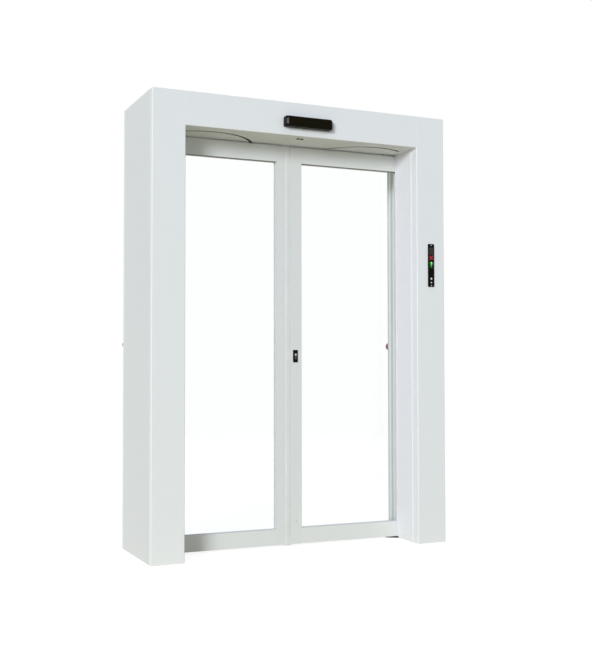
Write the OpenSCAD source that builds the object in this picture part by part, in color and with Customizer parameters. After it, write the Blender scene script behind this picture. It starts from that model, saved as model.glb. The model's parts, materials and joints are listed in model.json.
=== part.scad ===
// Security portal: a free-standing walk-through frame of folded sheet, with two glazed leaves.
// Each leaf hangs from a plate in the header. The plate turns on a shaft behind the leaf, so the
// meeting edge swings out to the front while the outer edge swings back beside the rear post.
// Origin: middle of the footprint, at floor level. X runs across the passage, Y to the rear, Z up.

/* [Portal] */
// Overall width over both posts
portal_w = 1644; // [1560:2:1800]
// Depth from the front face to the rear face
portal_d = 532; // [520:2:600]
// Overall height
portal_h = 2300; // [2150:5:2500]
// Width of each front post
post_w = 170; // [165:1:176]
// Depth behind the front posts, in which the leaves hang and swing
swing_room = 316; // [312:1:332]
// Width of each rear post
rear_post_w = 57; // [55:1:62]
// Height of the header from its underside to the top
header_h = 170; // [165:1:220]

/* [Folded sheet] */
// Thickness of the cladding
sheet = 2; // [1.5:0.25:2.5]
// Outer radius of each fold
fold_r = 4; // [3.5:0.5:6]
// Open seam between two sheets
seam = 0.6; // [0.3:0.1:0.9]
// Return of the front sheets into the passage
front_return = 72; // [50:1:110]
// Length of the joggled lap that the front return makes over the reveal sheet
lap_w = 12; // [10:1:20]
// Run of the slope that leads up to the lap
lap_slope = 8; // [6:1:12]
// Length of the reveal sheet that is tucked under the lap
lap_tuck = 8; // [5:1:9]
// Return of the front and rear sheets onto the side faces
side_return = 30; // [20:1:45]
// Return of the rear header sheet under the header
rear_return = 20; // [15:1:25]

/* [Leaves] */
// Thickness of a leaf's frame
leaf_t = 45; // [40:1:50]
// Gap between the front post's rear face and the leaf
leaf_gap = 7; // [6:0.5:12]
// Length of the leaf that runs behind the front post
leaf_lap = 68; // [64:1:72]
// Gap between the two meeting edges
meet_gap = 5; // [5:0.5:10]
// Gap between the leaf's top and the ceiling panel
leaf_top_gap = 8; // [8:0.5:14]
// Gap between the leaf's bottom and the floor
leaf_floor_gap = 10; // [10:0.5:16]
// Gap between the closing profiles and the floor
closing_floor_gap = 5; // [4:0.5:9]
// Height of the top rail
top_rail_h = 85.5; // [70:0.5:120]
// Height of the bottom rail
bottom_rail_h = 83; // [70:1:120]
// Width of the right leaf's meeting stile
right_stile_w = 63.5; // [54:0.5:80]
// Width of the left leaf's meeting stile
left_stile_w = 48; // [40:0.5:80]
// Width of each outer stile
outer_stile_w = 60; // [50:1:64]
// Width of the right leaf's closing profile
right_closing_w = 4; // [3:0.5:8]
// Width of the left leaf's closing profile
left_closing_w = 24.5; // [16:0.5:28]
// Thickness of the closing profiles' lip
lip_t = 6; // [5:0.5:8]
// Radius of the lip's edges
lip_r = 2; // [1:0.25:2.25]
// Depth of the profiles' root along the stile
root_d = 30; // [20:1:36]
// Thickness of the profiles' root
root_t = 3; // [2:0.25:3]
// Width of the slanted bead on the left profile
bead_w = 11; // [6:0.5:12]
// Depth that the bead stands proud
bead_out = 2; // [1:0.1:2.5]
// Wall of the frame extrusions
leaf_wall = 2.5; // [2:0.25:3]

/* [Glazing] */
// Thickness of the laminated glass
glass_t = 10; // [8:1:14]
// Gasket on each face of the glass
gasket_t = 3; // [2:0.5:4]
// Depth of the glazing groove
groove_d = 15; // [12:1:18]
// Length of glass held in the groove
glass_in = 12; // [8:1:11.5]
// Width of gasket that shows beside the frame
gasket_show = 2; // [1:0.5:4]

/* [Swing] */
// Distance of the shaft axis behind the leaf's front face
shaft_back = 146; // [140:1:150]
// Clearance of the leaf's swinging corner to the rear post
swing_gap = 5.8; // [5:0.1:7]
// How far each leaf turns
open_angle = 90; // [80:1:90]
// Width of ceiling panel left between the inner slots and its front edge
slot_edge = 6; // [4:0.5:12]
// Distance of the outer hanger from the shaft, along the leaf
hanger_outer = 112; // [100:1:120]
// Width of the arc slots in the ceiling panel
slot_w = 16; // [15:0.5:20]
// Run of each slot past the hanger at either end, in degrees
slot_lead = 5.7; // [4:0.1:6]

/* [Carrier] */
// Diameter of a hanger's shank
shank_d = 10; // [8:1:12]
// Diameter of a hanger's foot and nut
foot_d = 26; // [22:1:30]
// Thickness of a hanger's foot
foot_t = 3; // [2:0.5:3]
// Diameter of a hanger's shoulder
shoulder_d = 18; // [14:1:20]
// Thickness of the carrier plate
carrier_t = 8; // [6:1:10]
// Height of the carrier plate above the ceiling panel
carrier_rise = 20; // [14:1:24]
// Diameter of the shaft
shaft_d = 30; // [25:1:35]
// Wall of the carrier's hub round the shaft
hub_wall = 14; // [10:1:16]
// Radial running clearance of the shaft
shaft_play = 0.05; // [0.02:0.01:0.1]
// Axial play of the shaft's collar
collar_play = 0.3; // [0.1:0.1:0.5]

/* [Inner frame] */
// Height of the header beams
beam_h = 50; // [44:1:54]
// Width of the front beam and of the front tube
tube_w = 60; // [50:1:60]
// Width of the rear channel that holds the bearings
channel_w = 100; // [90:1:110]
// Wall of the rear channel
channel_wall = 4; // [3:0.5:5]
// Width of the rear tube
rear_tube_w = 40; // [30:1:42]
// Width of the cross members
cross_w = 30; // [20:1:36]
// Height of the bearing blocks
bearing_h = 28; // [20:1:36]
// Wall of the tubes
tube_wall = 3; // [2:0.5:4]
// Thickness of the base plates
base_t = 8; // [6:1:12]
// Clearance of the base plates to the cladding
base_fit = 0.8; // [0.7:0.05:0.95]
// Diameter of the anchor holes
anchor_d = 14; // [12:1:16]
// Anchor spacing across the front post
anchor_x = 110; // [100:1:120]
// Distance of the front anchors from the post's front and rear faces
anchor_edge = 43; // [38:1:50]
// Anchor spacing in the rear post
anchor_rear = 120; // [100:1:140]

/* [Sensors] */
// Length of a motion sensor
sensor_w = 262; // [200:1:300]
// Height of a motion sensor
sensor_h = 54; // [45:1:70]
// Depth of a motion sensor
sensor_d = 44; // [35:1:55]
// Radius of the sensor's front edges
sensor_r = 12; // [6:1:16]
// Radius of the sensor's corners, seen from the front
sensor_corner = 10; // [5:1:16]
// Height of the sensor's middle above the header's underside
sensor_rise = 66; // [45:1:80]
// Place of the presence sensor across the passage
presence_x = -12.5; // [-100:0.5:100]
// Distance of the presence sensor from the front face
presence_y = 59; // [45:1:62]
// Spacing of the two presence lenses
presence_pitch = 21; // [20:1:30]
// Diameter of a presence lens
presence_d = 18; // [12:1:19]

/* [Signal] */
// Width of the signal plate
signal_w = 37; // [34:1:50]
// Height of the signal plate
signal_h = 233; // [180:1:260]
// Thickness of the signal plate
signal_t = 6; // [4:1:12]
// Distance of the signal plate's middle from the portal's side
signal_edge = 84; // [70:1:90]
// Height of the signal plate's middle
signal_z = 1494; // [1300:1:1600]
// Width of a lamp's window
lamp_w = 26; // [20:1:30]
// Height of the red lamp's window
red_h = 26; // [20:1:30]
// Height of the green lamp's window
green_h = 36; // [26:1:40]
// Height of the red lamp above the plate's middle
red_rise = 41; // [38:1:60]
// Height of the green lamp above the plate's middle
green_rise = 3; // [-10:1:4]
// Depth that a lamp stands proud
lamp_t = 1.5; // [1:0.5:4]

/* [Lock] */
// Distance of the cylinder from the stile's meeting edge
lock_edge = 26; // [22:1:32]
// Height of the lock plates' middle
lock_z = 1003; // [900:1:1100]
// Width of a lock plate
lock_w = 27; // [24:1:34]
// Height of a lock plate
lock_h = 66; // [50:1:80]
// Thickness of a lock plate
lock_t = 3; // [2:0.5:4]
// Diameter of the cylinder's round part
cylinder_d = 17; // [16:0.5:18]
// Width of the cylinder's lower web
web_w = 10; // [9:0.5:11]
// Reach of the lower web below the middle of the round part
web_drop = 24.5; // [20:0.5:26]
// Diameter of the key plug
plug_d = 12; // [10:0.5:14]
// Height of the cylinder's round part above the plate's middle
cylinder_rise = 8; // [0:1:14]
// Depth that the cylinder stands proud of its plate
cylinder_out = 3; // [1:0.5:5]

/* [Release buttons] */
// Height of the push-buttons
button_z = 1065; // [900:1:1200]
// Diameter of the mushroom head
button_d = 44; // [36:1:50]
// Depth that the push-button stands proud
button_out = 44; // [38:1:55]
// Diameter of the collar round the push-button
button_collar_d = 30; // [26:1:34]

/* [Floor guides] */
// Length of a floor guide across the passage
guide_w = 80; // [60:1:100]
// Run of a floor guide to the rear of the front post
guide_run = 60; // [40:1:80]
// Thickness of a floor guide
guide_t = 5; // [3:0.5:5]
// Length of guide that runs out past the front post
guide_out = 54; // [40:1:60]

/* [Hidden] */

$fn = 48;
cut = 1;                                      // how far a cut runs past what it cuts

// Colours
paint = [0.87, 0.88, 0.89];
frame_paint = [0.83, 0.85, 0.86];
black = [0.08, 0.08, 0.08];
steel = [0.6, 0.62, 0.64];
clear = [0.8, 0.9, 0.9, 0.35];
rubber = [0.75, 0.77, 0.77];

// Faces of the portal
side_x = portal_w / 2;                        // outer side face
post_d = portal_d - swing_room;               // depth of each front post box
front_y = -portal_d / 2;                      // front face
rear_y = portal_d / 2;                        // rear face
reveal_x = side_x - post_w;                   // face of the passage in the front post
wall_x = side_x - rear_post_w;                // face of the passage in the rear post
box_y = front_y + post_d;                     // rear face of the front post box
ceiling_z = portal_h - header_h;              // underside of the header

// Faces of a leaf
leaf_y0 = box_y + leaf_gap;                   // front face
leaf_y1 = leaf_y0 + leaf_t;                   // rear face
leaf_yc = (leaf_y0 + leaf_y1) / 2;            // middle plane, where the glass and hangers are
leaf_z0 = leaf_floor_gap;
leaf_z1 = ceiling_z - leaf_top_gap;
leaf_x0 = meet_gap / 2;                       // meeting edge
leaf_x1 = reveal_x + leaf_lap;                // outer end
sight_z0 = leaf_z0 + bottom_rail_h;           // lower edge of the clear glass
sight_z1 = leaf_z1 - top_rail_h;              // upper edge of the clear glass
sight_x1 = leaf_x1 - outer_stile_w;           // outer edge of the clear glass
groove_w = glass_t + 2 * gasket_t;

// Shaft: its place across the passage lets the swinging corner pass the rear post
shaft_y = leaf_y0 + shaft_back;
swing_x = wall_x - swing_gap;                 // farthest reach of the corner
shaft_x = (swing_x * swing_x - leaf_x1 * leaf_x1 - shaft_back * shaft_back)
    / (2 * (swing_x - leaf_x1));
hang_back = shaft_y - leaf_yc;                // distance of the hangers in front of the shaft
inner_r = shaft_y - slot_w / 2 - slot_edge - front_y - front_return - seam;
hanger_inner = sqrt(inner_r * inner_r - hang_back * hang_back);
outer_r = sqrt(hanger_outer * hanger_outer + hang_back * hang_back);
inner_a = 180 + atan(hang_back / hanger_inner);
outer_a = 360 - atan(hang_back / hanger_outer);

// Levels in the header
carrier_z = ceiling_z + sheet + carrier_rise; // underside of the carrier plate
cover_z = portal_h - sheet;                   // underside of the top cover
beam_z = cover_z - beam_h;                    // underside of the beams
collar_h = 8;
collar_r = shaft_d / 2 + 7;
spacer_gap = 6;                               // ceiling panel to the hanger's shoulder
nut_h = 8;
hub_r = shaft_d / 2 + hub_wall;
hub_step = 6;                                 // the hub stands inside the plate's corner
hub_h = 24;

// Inner frame
post_x = side_x - post_w / 2;                 // middle of the front post
post_y = front_y + post_d / 2;
rear_post_x = side_x - rear_post_w / 2;       // middle of the rear post
rear_tube_y = shaft_y + channel_w / 2 - rear_tube_w / 2;

// ---- Helpers ----

// Both halves of the portal: the right one, and its mirror image
module both_sides() {
    children();
    mirror([1, 0, 0]) children();
}

// The right half, or the left one when asked
module on_side(left) {
    mirror([left ? 1 : 0, 0, 0]) children();
}

// Box between two corners
module block(x0, x1, y0, y1, z0, z1) {
    translate([x0, y0, z0]) cube([x1 - x0, y1 - y0, z1 - z0]);
}

// Rectangle between two corners
module patch(x0, x1, y0, y1) {
    translate([x0, y0]) square([x1 - x0, y1 - y0]);
}

// Quarter ring of a folded sheet round its centre, from angle a to a + 90
module fold(x, y, a) {
    translate([x, y]) rotate(a) difference() {
        intersection() {
            circle(r = fold_r);
            square(fold_r);
        }
        circle(r = fold_r - sheet);
    }
}

// Rounded rectangle about the origin, with true arcs
module rounded(w, h, r) {
    patch(-w / 2 + r, w / 2 - r, -h / 2, h / 2);
    patch(-w / 2, w / 2, -h / 2 + r, h / 2 - r);
    for (sx = [-1, 1], sy = [-1, 1])
        translate([sx * (w / 2 - r), sy * (h / 2 - r)]) circle(r = r);
}

// Slot along an arc round the shaft, from angle a0 to a1, with radial ends
module arc_slot(r, a0, a1, w) {
    steps = 6;
    far = 2 * r;
    intersection() {
        difference() {
            circle(r = r + w / 2, $fn = 96);
            circle(r = r - w / 2, $fn = 96);
        }
        polygon(concat([[0, 0]],
            [for (i = [0:steps]) let (a = a0 + (a1 - a0) * i / steps) far * [cos(a), sin(a)]]));
    }
}

// ---- Cladding ----

// Front sheet of a post: front face, a return onto the side, and one into the passage whose
// last stretch is joggled to lie over the reveal sheet
module front_post() {
    lap_y1 = front_y + front_return;
    lap_y0 = lap_y1 - lap_w;
    slope_y = lap_y0 - lap_slope;
    lap_x = reveal_x - sheet - seam;
    color(paint) {
        linear_extrude(height = portal_h) {
            patch(reveal_x + fold_r, side_x - fold_r, front_y, front_y + sheet);
            fold(side_x - fold_r, front_y + fold_r, -90);
            patch(side_x - sheet, side_x, front_y + fold_r, front_y + side_return);
        }
        linear_extrude(height = ceiling_z) {
            fold(reveal_x + fold_r, front_y + fold_r, 180);
            polygon([[reveal_x, front_y + fold_r], [reveal_x, slope_y], [lap_x, lap_y0],
                [lap_x, lap_y1], [lap_x + sheet, lap_y1], [lap_x + sheet, lap_y0],
                [reveal_x + sheet, slope_y], [reveal_x + sheet, front_y + fold_r]]);
        }
        block(reveal_x, reveal_x + fold_r, front_y, front_y + sheet, ceiling_z, portal_h);
    }
}

// Sheet over the doorway, its upright face at y = 0 and its return running to +Y
module lintel_sheet(half_w, run) {
    rotate([90, 0, 90]) translate([0, 0, -half_w]) linear_extrude(height = 2 * half_w) {
        patch(0, sheet, ceiling_z + fold_r, portal_h);
        fold(fold_r, ceiling_z + fold_r, 180);
        patch(fold_r, run, ceiling_z, ceiling_z + sheet);
    }
}

module front_lintel() {
    color(paint) translate([0, front_y, 0]) lintel_sheet(reveal_x, front_return);
}

module rear_lintel() {
    color(paint) translate([0, rear_y, 0]) mirror([0, 1, 0]) lintel_sheet(wall_x, rear_return);
}

// Flat side panel between the front and rear returns
module side_panel() {
    color(paint) block(side_x - sheet, side_x,
        front_y + side_return + seam, rear_y - side_return - seam, 0, portal_h);
}

// Sheet that closes the front post box towards the passage and the leaf
module reveal() {
    color(paint) linear_extrude(height = ceiling_z) {
        patch(reveal_x, reveal_x + sheet, front_y + front_return - lap_tuck, box_y - fold_r);
        fold(reveal_x + fold_r, box_y - fold_r, 90);
        patch(reveal_x + fold_r, wall_x, box_y - sheet, box_y);
    }
}

// Rear post sheet: return onto the side, rear face, and the passage wall beside the leaf
module rear_post() {
    color(paint) {
        linear_extrude(height = portal_h) {
            patch(side_x - sheet, side_x, rear_y - side_return, rear_y - fold_r);
            fold(side_x - fold_r, rear_y - fold_r, 0);
            patch(wall_x + fold_r, side_x - fold_r, rear_y - sheet, rear_y);
        }
        linear_extrude(height = ceiling_z) {
            fold(wall_x + fold_r, rear_y - fold_r, 90);
            patch(wall_x, wall_x + sheet, box_y - sheet, rear_y - fold_r);
        }
        block(wall_x, wall_x + fold_r, rear_y - sheet, rear_y, ceiling_z, portal_h);
    }
}

// Lid that drops between the upright sheets, its corners cut to clear the folds
module top_cover() {
    x = side_x - sheet;
    y = rear_y - sheet;
    corner = fold_r - sheet;
    color(paint) translate([0, 0, cover_z]) linear_extrude(height = sheet) polygon([
        [-x, corner - y], [corner - x, -y], [x - corner, -y], [x, corner - y],
        [x, y - corner], [x - corner, y], [corner - x, y], [-x, y - corner]]);
}

// Panel under the header, with the arc slots that the hangers run in
module ceiling_panel() {
    color(paint) translate([0, 0, ceiling_z]) linear_extrude(height = sheet) difference() {
        union() {
            patch(-reveal_x - sheet, reveal_x + sheet, front_y + front_return + seam, 0);
            patch(-wall_x - sheet, wall_x + sheet, box_y - sheet, rear_y - rear_return - seam);
        }
        both_sides() translate([shaft_x, shaft_y]) {
            arc_slot(inner_r, inner_a - slot_lead, inner_a + open_angle + slot_lead, slot_w);
            arc_slot(outer_r, outer_a - slot_lead, outer_a + open_angle + slot_lead, slot_w);
        }
    }
}

// ---- Inner frame ----

// Beams of the header, welded into one frame
module header_frame() {
    color(steel) {
        difference() {
            block(-side_x + sheet, side_x - sheet,
                post_y - tube_w / 2, post_y + tube_w / 2, beam_z, cover_z);
            block(-side_x, side_x, post_y - tube_w / 2 + tube_wall,
                post_y + tube_w / 2 - tube_wall, beam_z + tube_wall, cover_z - tube_wall);
        }
        difference() {
            block(-side_x + sheet, side_x - sheet,
                shaft_y - channel_w / 2, shaft_y + channel_w / 2, beam_z, cover_z);
            block(-side_x, side_x, shaft_y - channel_w / 2 + channel_wall,
                shaft_y + channel_w / 2 - channel_wall, beam_z - cut, cover_z - channel_wall);
        }
        both_sides() block(side_x - sheet - cross_w, side_x - sheet,
            post_y + tube_w / 2, shaft_y - channel_w / 2, beam_z, cover_z);
    }
}

// Upright tube, open at both ends
module upright(x, y, w, z0, z1) {
    difference() {
        block(x - w / 2, x + w / 2, y - w / 2, y + w / 2, z0, z1);
        block(x - w / 2 + tube_wall, x + w / 2 - tube_wall,
            y - w / 2 + tube_wall, y + w / 2 - tube_wall, z0, z1 + cut);
    }
}

// Base plate and two uprights of one side, welded, with anchor holes through the plate
module post_frame() {
    inset = sheet + base_fit;
    difference() {
        union() {
            block(reveal_x + inset, side_x - inset, front_y + inset, box_y - inset, 0, base_t);
            block(wall_x + inset, side_x - inset, box_y - inset, rear_y - inset, 0, base_t);
            upright(post_x, post_y, tube_w, base_t, beam_z);
            upright(rear_post_x, rear_tube_y, rear_tube_w, base_t, beam_z);
        }
        for (sx = [-1, 1], y = [front_y + anchor_edge, box_y - anchor_edge])
            translate([post_x + sx * anchor_x / 2, y, -cut])
                cylinder(d = anchor_d, h = base_t + 2 * cut);
        for (sy = [-1, 1])
            translate([rear_post_x, rear_tube_y + sy * anchor_rear / 2, -cut])
                cylinder(d = anchor_d, h = base_t + 2 * cut);
    }
}

module post_frames() {
    color(steel) both_sides() post_frame();
}

// Bearing blocks between the channel's flanges, bored for the shafts
module shaft_bearings() {
    half = channel_w / 2 - channel_wall;
    color(steel) both_sides() translate([shaft_x, shaft_y, beam_z]) difference() {
        translate([-half, -half, 0]) cube([2 * half, 2 * half, bearing_h]);
        translate([0, 0, -cut]) cylinder(r = shaft_d / 2 + shaft_play, h = bearing_h + 2 * cut);
    }
}

// Flat plate on the floor at the rear of each front post, under the leaf's end
module floor_guides() {
    nose = guide_w / 4;
    x0 = reveal_x - guide_out;
    color(black) both_sides() linear_extrude(height = guide_t) polygon([
        [reveal_x + fold_r, box_y], [x0 + guide_w, box_y],
        [x0 + guide_w, box_y + guide_run - nose], [x0 + guide_w - nose, box_y + guide_run],
        [x0, box_y + guide_run], [x0, box_y + guide_run - nose]]);
}

// ---- Sensors, signal and buttons ----

// Bar of width w from y = 0 to -Y, its two front corners rounded
module bar_outline(w) {
    patch(-w / 2, w / 2, -sensor_d + sensor_r, 0);
    patch(-w / 2 + sensor_r, w / 2 - sensor_r, -sensor_d, 0);
    for (sx = [-1, 1])
        translate([sx * (w / 2 - sensor_r), -sensor_d + sensor_r]) circle(r = sensor_r);
}

// Motion sensor on an upright face at y = 0: the bar that its plan, side and front views share
module motion_sensor() {
    color(black) translate([0, 0, ceiling_z + sensor_rise]) intersection() {
        translate([0, 0, -sensor_h / 2]) linear_extrude(height = sensor_h) bar_outline(sensor_w);
        rotate([0, 90, 0]) translate([0, 0, -sensor_w / 2])
            linear_extrude(height = sensor_w) bar_outline(sensor_h);
        rotate([90, 0, 0]) linear_extrude(height = sensor_d)
            rounded(sensor_w, sensor_h, sensor_corner);
    }
}

module front_sensor() {
    translate([0, front_y, 0]) motion_sensor();
}

module rear_sensor() {
    translate([0, rear_y, 0]) rotate(180) motion_sensor();
}

// Twin presence lenses under the front of the header, each a rim with a lower dome
module presence_sensor() {
    lens_r = presence_d / 2;
    rim_h = 2;
    color(black) translate([presence_x, front_y + presence_y, ceiling_z]) mirror([0, 0, 1])
        for (sx = [-1, 1]) translate([sx * presence_pitch / 2, 0, 0]) {
            cylinder(r = lens_r, h = rim_h);
            translate([0, 0, rim_h]) cylinder(r1 = lens_r - 1, r2 = lens_r / 2, h = rim_h);
        }
}

// Black plate on the right front post that carries the lamps
module signal_plate() {
    color(black) translate([side_x - signal_edge, front_y, signal_z]) rotate([90, 0, 0])
        linear_extrude(height = signal_t) rounded(signal_w, signal_h, 4);
}

// Lamp window of height h on the signal plate, its middle raised above the plate's middle
module lamp(h, rise) {
    corner = 3;
    translate([side_x - signal_edge, front_y - signal_t, signal_z + rise]) rotate([90, 0, 0])
        linear_extrude(height = lamp_t) rounded(lamp_w, h, corner);
}

module red_lamp() {
    color("red") lamp(red_h, red_rise);
}

module green_lamp() {
    color("lime") lamp(green_h, green_rise);
}

// Mushroom push-buttons on the rear faces of the rear posts
module release_buttons() {
    collar_t = 8;
    neck_r = button_collar_d / 2 - 4;
    head_r = button_d / 2;
    head_t = 14;
    dome = 6;
    color("red") both_sides() translate([rear_post_x, rear_y, button_z]) rotate([-90, 0, 0]) {
        cylinder(d = button_collar_d, h = collar_t);
        cylinder(r = neck_r, h = button_out - head_t + 1);
        translate([0, 0, button_out - head_t]) cylinder(r = head_r, h = head_t - dome);
        translate([0, 0, button_out - dome]) cylinder(r1 = head_r, r2 = head_r * 0.8, h = dome);
    }
}

// ---- Leaves, drawn on the right; the left ones are mirrored ----

function closing_w(left) = left ? left_closing_w : right_closing_w;
function stile_w(left) = left ? left_stile_w : right_stile_w;
function stile_x(left) = leaf_x0 + closing_w(left);
function sight_x0(left) = stile_x(left) + stile_w(left);

// Groove that the gasket fills, all round the glass
module glass_pocket(left) {
    block(sight_x0(left) - groove_d, sight_x1 + groove_d, leaf_yc - groove_w / 2,
        leaf_yc + groove_w / 2, sight_z0 - groove_d, sight_z1 + groove_d);
}

module glass_pane(left) {
    block(sight_x0(left) - glass_in, sight_x1 + glass_in, leaf_yc - glass_t / 2,
        leaf_yc + glass_t / 2, sight_z0 - glass_in, sight_z1 + glass_in);
}

// Upright extrusion between x0 and x1, with its tube run from void_x0 to void_x1
module stile(left, x0, x1, void_x0, void_x1) {
    difference() {
        block(x0, x1, leaf_y0, leaf_y1, leaf_z0, leaf_z1);
        block(void_x0, void_x1, leaf_y0 + leaf_wall, leaf_y1 - leaf_wall,
            leaf_z0 - cut, leaf_z1 + cut);
        glass_pocket(left);
    }
}

// Level extrusion between z0 and z1, with its tube run from void_z0 to void_z1
module rail(left, z0, z1, void_z0, void_z1) {
    x0 = sight_x0(left);
    difference() {
        block(x0, sight_x1, leaf_y0, leaf_y1, z0, z1);
        block(x0 - cut, sight_x1 + cut, leaf_y0 + leaf_wall, leaf_y1 - leaf_wall,
            void_z0, void_z1);
        glass_pocket(left);
    }
}

module top_rail(left) {
    color(frame_paint) on_side(left) rail(left, sight_z1, leaf_z1,
        sight_z1 + groove_d + leaf_wall, leaf_z1 - leaf_wall);
}

module bottom_rail(left) {
    color(frame_paint) on_side(left) rail(left, leaf_z0, sight_z0,
        leaf_z0 + leaf_wall, sight_z0 - groove_d - leaf_wall);
}

module meeting_stile(left) {
    x0 = stile_x(left);
    x1 = sight_x0(left);
    color(frame_paint) on_side(left) difference() {
        stile(left, x0, x1, x0 + leaf_wall, x1 - groove_d - leaf_wall);
        if (!left) cylinder_hole();
    }
}

module outer_stile(left) {
    color(frame_paint) on_side(left) stile(left, sight_x1, leaf_x1,
        sight_x1 + groove_d + leaf_wall, leaf_x1 - leaf_wall);
}

module glass(left) {
    color(clear) on_side(left) glass_pane(left);
}

// Channel gasket round the glass, filling the groove and showing beside the frame
module gasket(left) {
    color(black) on_side(left) difference() {
        glass_pocket(left);
        block(sight_x0(left) + gasket_show, sight_x1 - gasket_show, leaf_y0, leaf_y1,
            sight_z0 + gasket_show, sight_z1 - gasket_show);
        glass_pane(left);
    }
}

// Rubber profile on the meeting edge: a lip at the front, and a root along the stile's end face.
// The left one has a slanted bead beside the stile.
module closing_profile(left) {
    w = closing_w(left);
    color(rubber) on_side(left) translate([leaf_x0, leaf_y0, closing_floor_gap])
        linear_extrude(height = leaf_z1 - closing_floor_gap) {
            patch(lip_r, w, 0, lip_t);
            patch(0, lip_r, lip_r, lip_t - lip_r);
            for (y = [lip_r, lip_t - lip_r]) translate([lip_r, y]) circle(r = lip_r);
            patch(w - root_t, w, lip_t, root_d);
            if (left) polygon([[w, 0], [w - bead_w, -bead_out], [w - bead_w, 0]]);
        }
}

// Hanger: foot on the rail, shank through the slot, shoulder under the plate, nut above it
module hanger(along) {
    translate([shaft_x + along, leaf_yc, 0]) {
        translate([0, 0, leaf_z1]) cylinder(d = foot_d, h = foot_t);
        translate([0, 0, leaf_z1]) cylinder(d = shank_d, h = carrier_z + carrier_t - leaf_z1 + 1);
        translate([0, 0, ceiling_z + sheet + spacer_gap])
            cylinder(d = shoulder_d, h = carrier_rise - spacer_gap);
        translate([0, 0, carrier_z + carrier_t]) cylinder(d = shoulder_d, h = nut_h);
    }
}

module hangers(left) {
    color(steel) on_side(left) {
        hanger(-hanger_inner);
        hanger(hanger_outer);
    }
}

// Carrier: plate between the two hangers and the shaft that hangs in the bearing
module carrier(left) {
    lug_r = foot_d / 2 + 5;
    places = [[-hanger_inner, -hang_back], [hanger_outer, -hang_back]];
    color(steel) on_side(left) translate([shaft_x, shaft_y, carrier_z]) {
        difference() {
            union() {
                linear_extrude(height = carrier_t) hull() {
                    circle(r = hub_r, $fn = 32);
                    for (p = places) translate(p) circle(r = lug_r, $fn = 32);
                }
                cylinder(r = hub_r - hub_step, h = carrier_t + hub_h);
            }
            for (p = places) translate([p.x, p.y, -cut])
                cylinder(r = shank_d / 2 + shaft_play, h = carrier_t + 2 * cut);
        }
        translate([0, 0, carrier_t]) cylinder(d = shaft_d,
            h = beam_z + bearing_h + collar_play + collar_h - carrier_z - carrier_t);
        translate([0, 0, beam_z + bearing_h + collar_play - carrier_z])
            cylinder(r = collar_r, h = collar_h);
    }
}

// ---- Lock on the right leaf ----

lock_x = stile_x(false) + lock_edge;
cylinder_z = lock_z + cylinder_rise;
cylinder_fit = 0.3;

// Profile of the cylinder, grown all round: a round part with a web below it
module cylinder_profile(grow) {
    circle(d = cylinder_d + 2 * grow);
    patch(-web_w / 2 - grow, web_w / 2 + grow, web_w / 2 - web_drop, 0);
    translate([0, web_w / 2 - web_drop]) circle(d = web_w + 2 * grow);
}

// What is drawn upright becomes a bar through the leaf, standing out by reach at either face
module through_leaf(reach) {
    translate([lock_x, leaf_y1 + reach, cylinder_z]) rotate([90, 0, 0])
        linear_extrude(height = leaf_t + 2 * reach) children();
}

module cylinder_hole() {
    through_leaf(lock_t + cut) cylinder_profile(cylinder_fit);
}

// A plate on each face of the stile
module lock_plates() {
    corner = 3;
    color(black) difference() {
        for (y = [leaf_y0, leaf_y1 + lock_t])
            translate([lock_x, y, lock_z]) rotate([90, 0, 0])
                linear_extrude(height = lock_t) rounded(lock_w, lock_h, corner);
        cylinder_hole();
    }
}

// Cylinder through the stile and both plates, with its key plug a little proud
module lock_cylinder() {
    plug_out = 0.8;
    color(steel) {
        through_leaf(lock_t + cylinder_out) cylinder_profile(0);
        through_leaf(lock_t + cylinder_out + plug_out) circle(d = plug_d);
    }
}

// ---- The portal ----

on_side(true) front_post();  // left_front_post
on_side(false) front_post();  // right_front_post
front_lintel();
rear_lintel();
on_side(true) side_panel();  // left_side_panel
on_side(false) side_panel();  // right_side_panel
on_side(true) reveal();  // left_reveal
on_side(false) reveal();  // right_reveal
on_side(true) rear_post();  // left_rear_post
on_side(false) rear_post();  // right_rear_post
top_cover();
ceiling_panel();
header_frame();
post_frames();
shaft_bearings();
floor_guides();
front_sensor();
rear_sensor();
presence_sensor();
signal_plate();
red_lamp();
green_lamp();
release_buttons();
top_rail(true);  // left_top_rail
bottom_rail(true);  // left_bottom_rail
meeting_stile(true);  // left_meeting_stile
outer_stile(true);  // left_outer_stile
glass(true);  // left_glass
gasket(true);  // left_gasket
closing_profile(true);  // left_closing_profile
hangers(true);  // left_hangers
carrier(true);  // left_carrier
top_rail(false);  // right_top_rail
bottom_rail(false);  // right_bottom_rail
meeting_stile(false);  // right_meeting_stile
outer_stile(false);  // right_outer_stile
glass(false);  // right_glass
gasket(false);  // right_gasket
closing_profile(false);  // right_closing_profile
hangers(false);  // right_hangers
carrier(false);  // right_carrier
lock_plates();
lock_cylinder();
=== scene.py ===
# %% [markdown]
# # Security portal, dressed in Blender
# The portal is a walk-through frame of folded, powder-coated sheet. Two glazed leaves hang from
# plates in the header and turn on shafts behind them. All of it could be modelled again here,
# but the frame model already holds every solid at its true place and on its own joint. So this
# lesson only adds the finishes, the small moulded fittings and the light.

# %% Load the frame model
import json
import math

import bmesh
import bpy
from mathutils import Matrix, Vector


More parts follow.
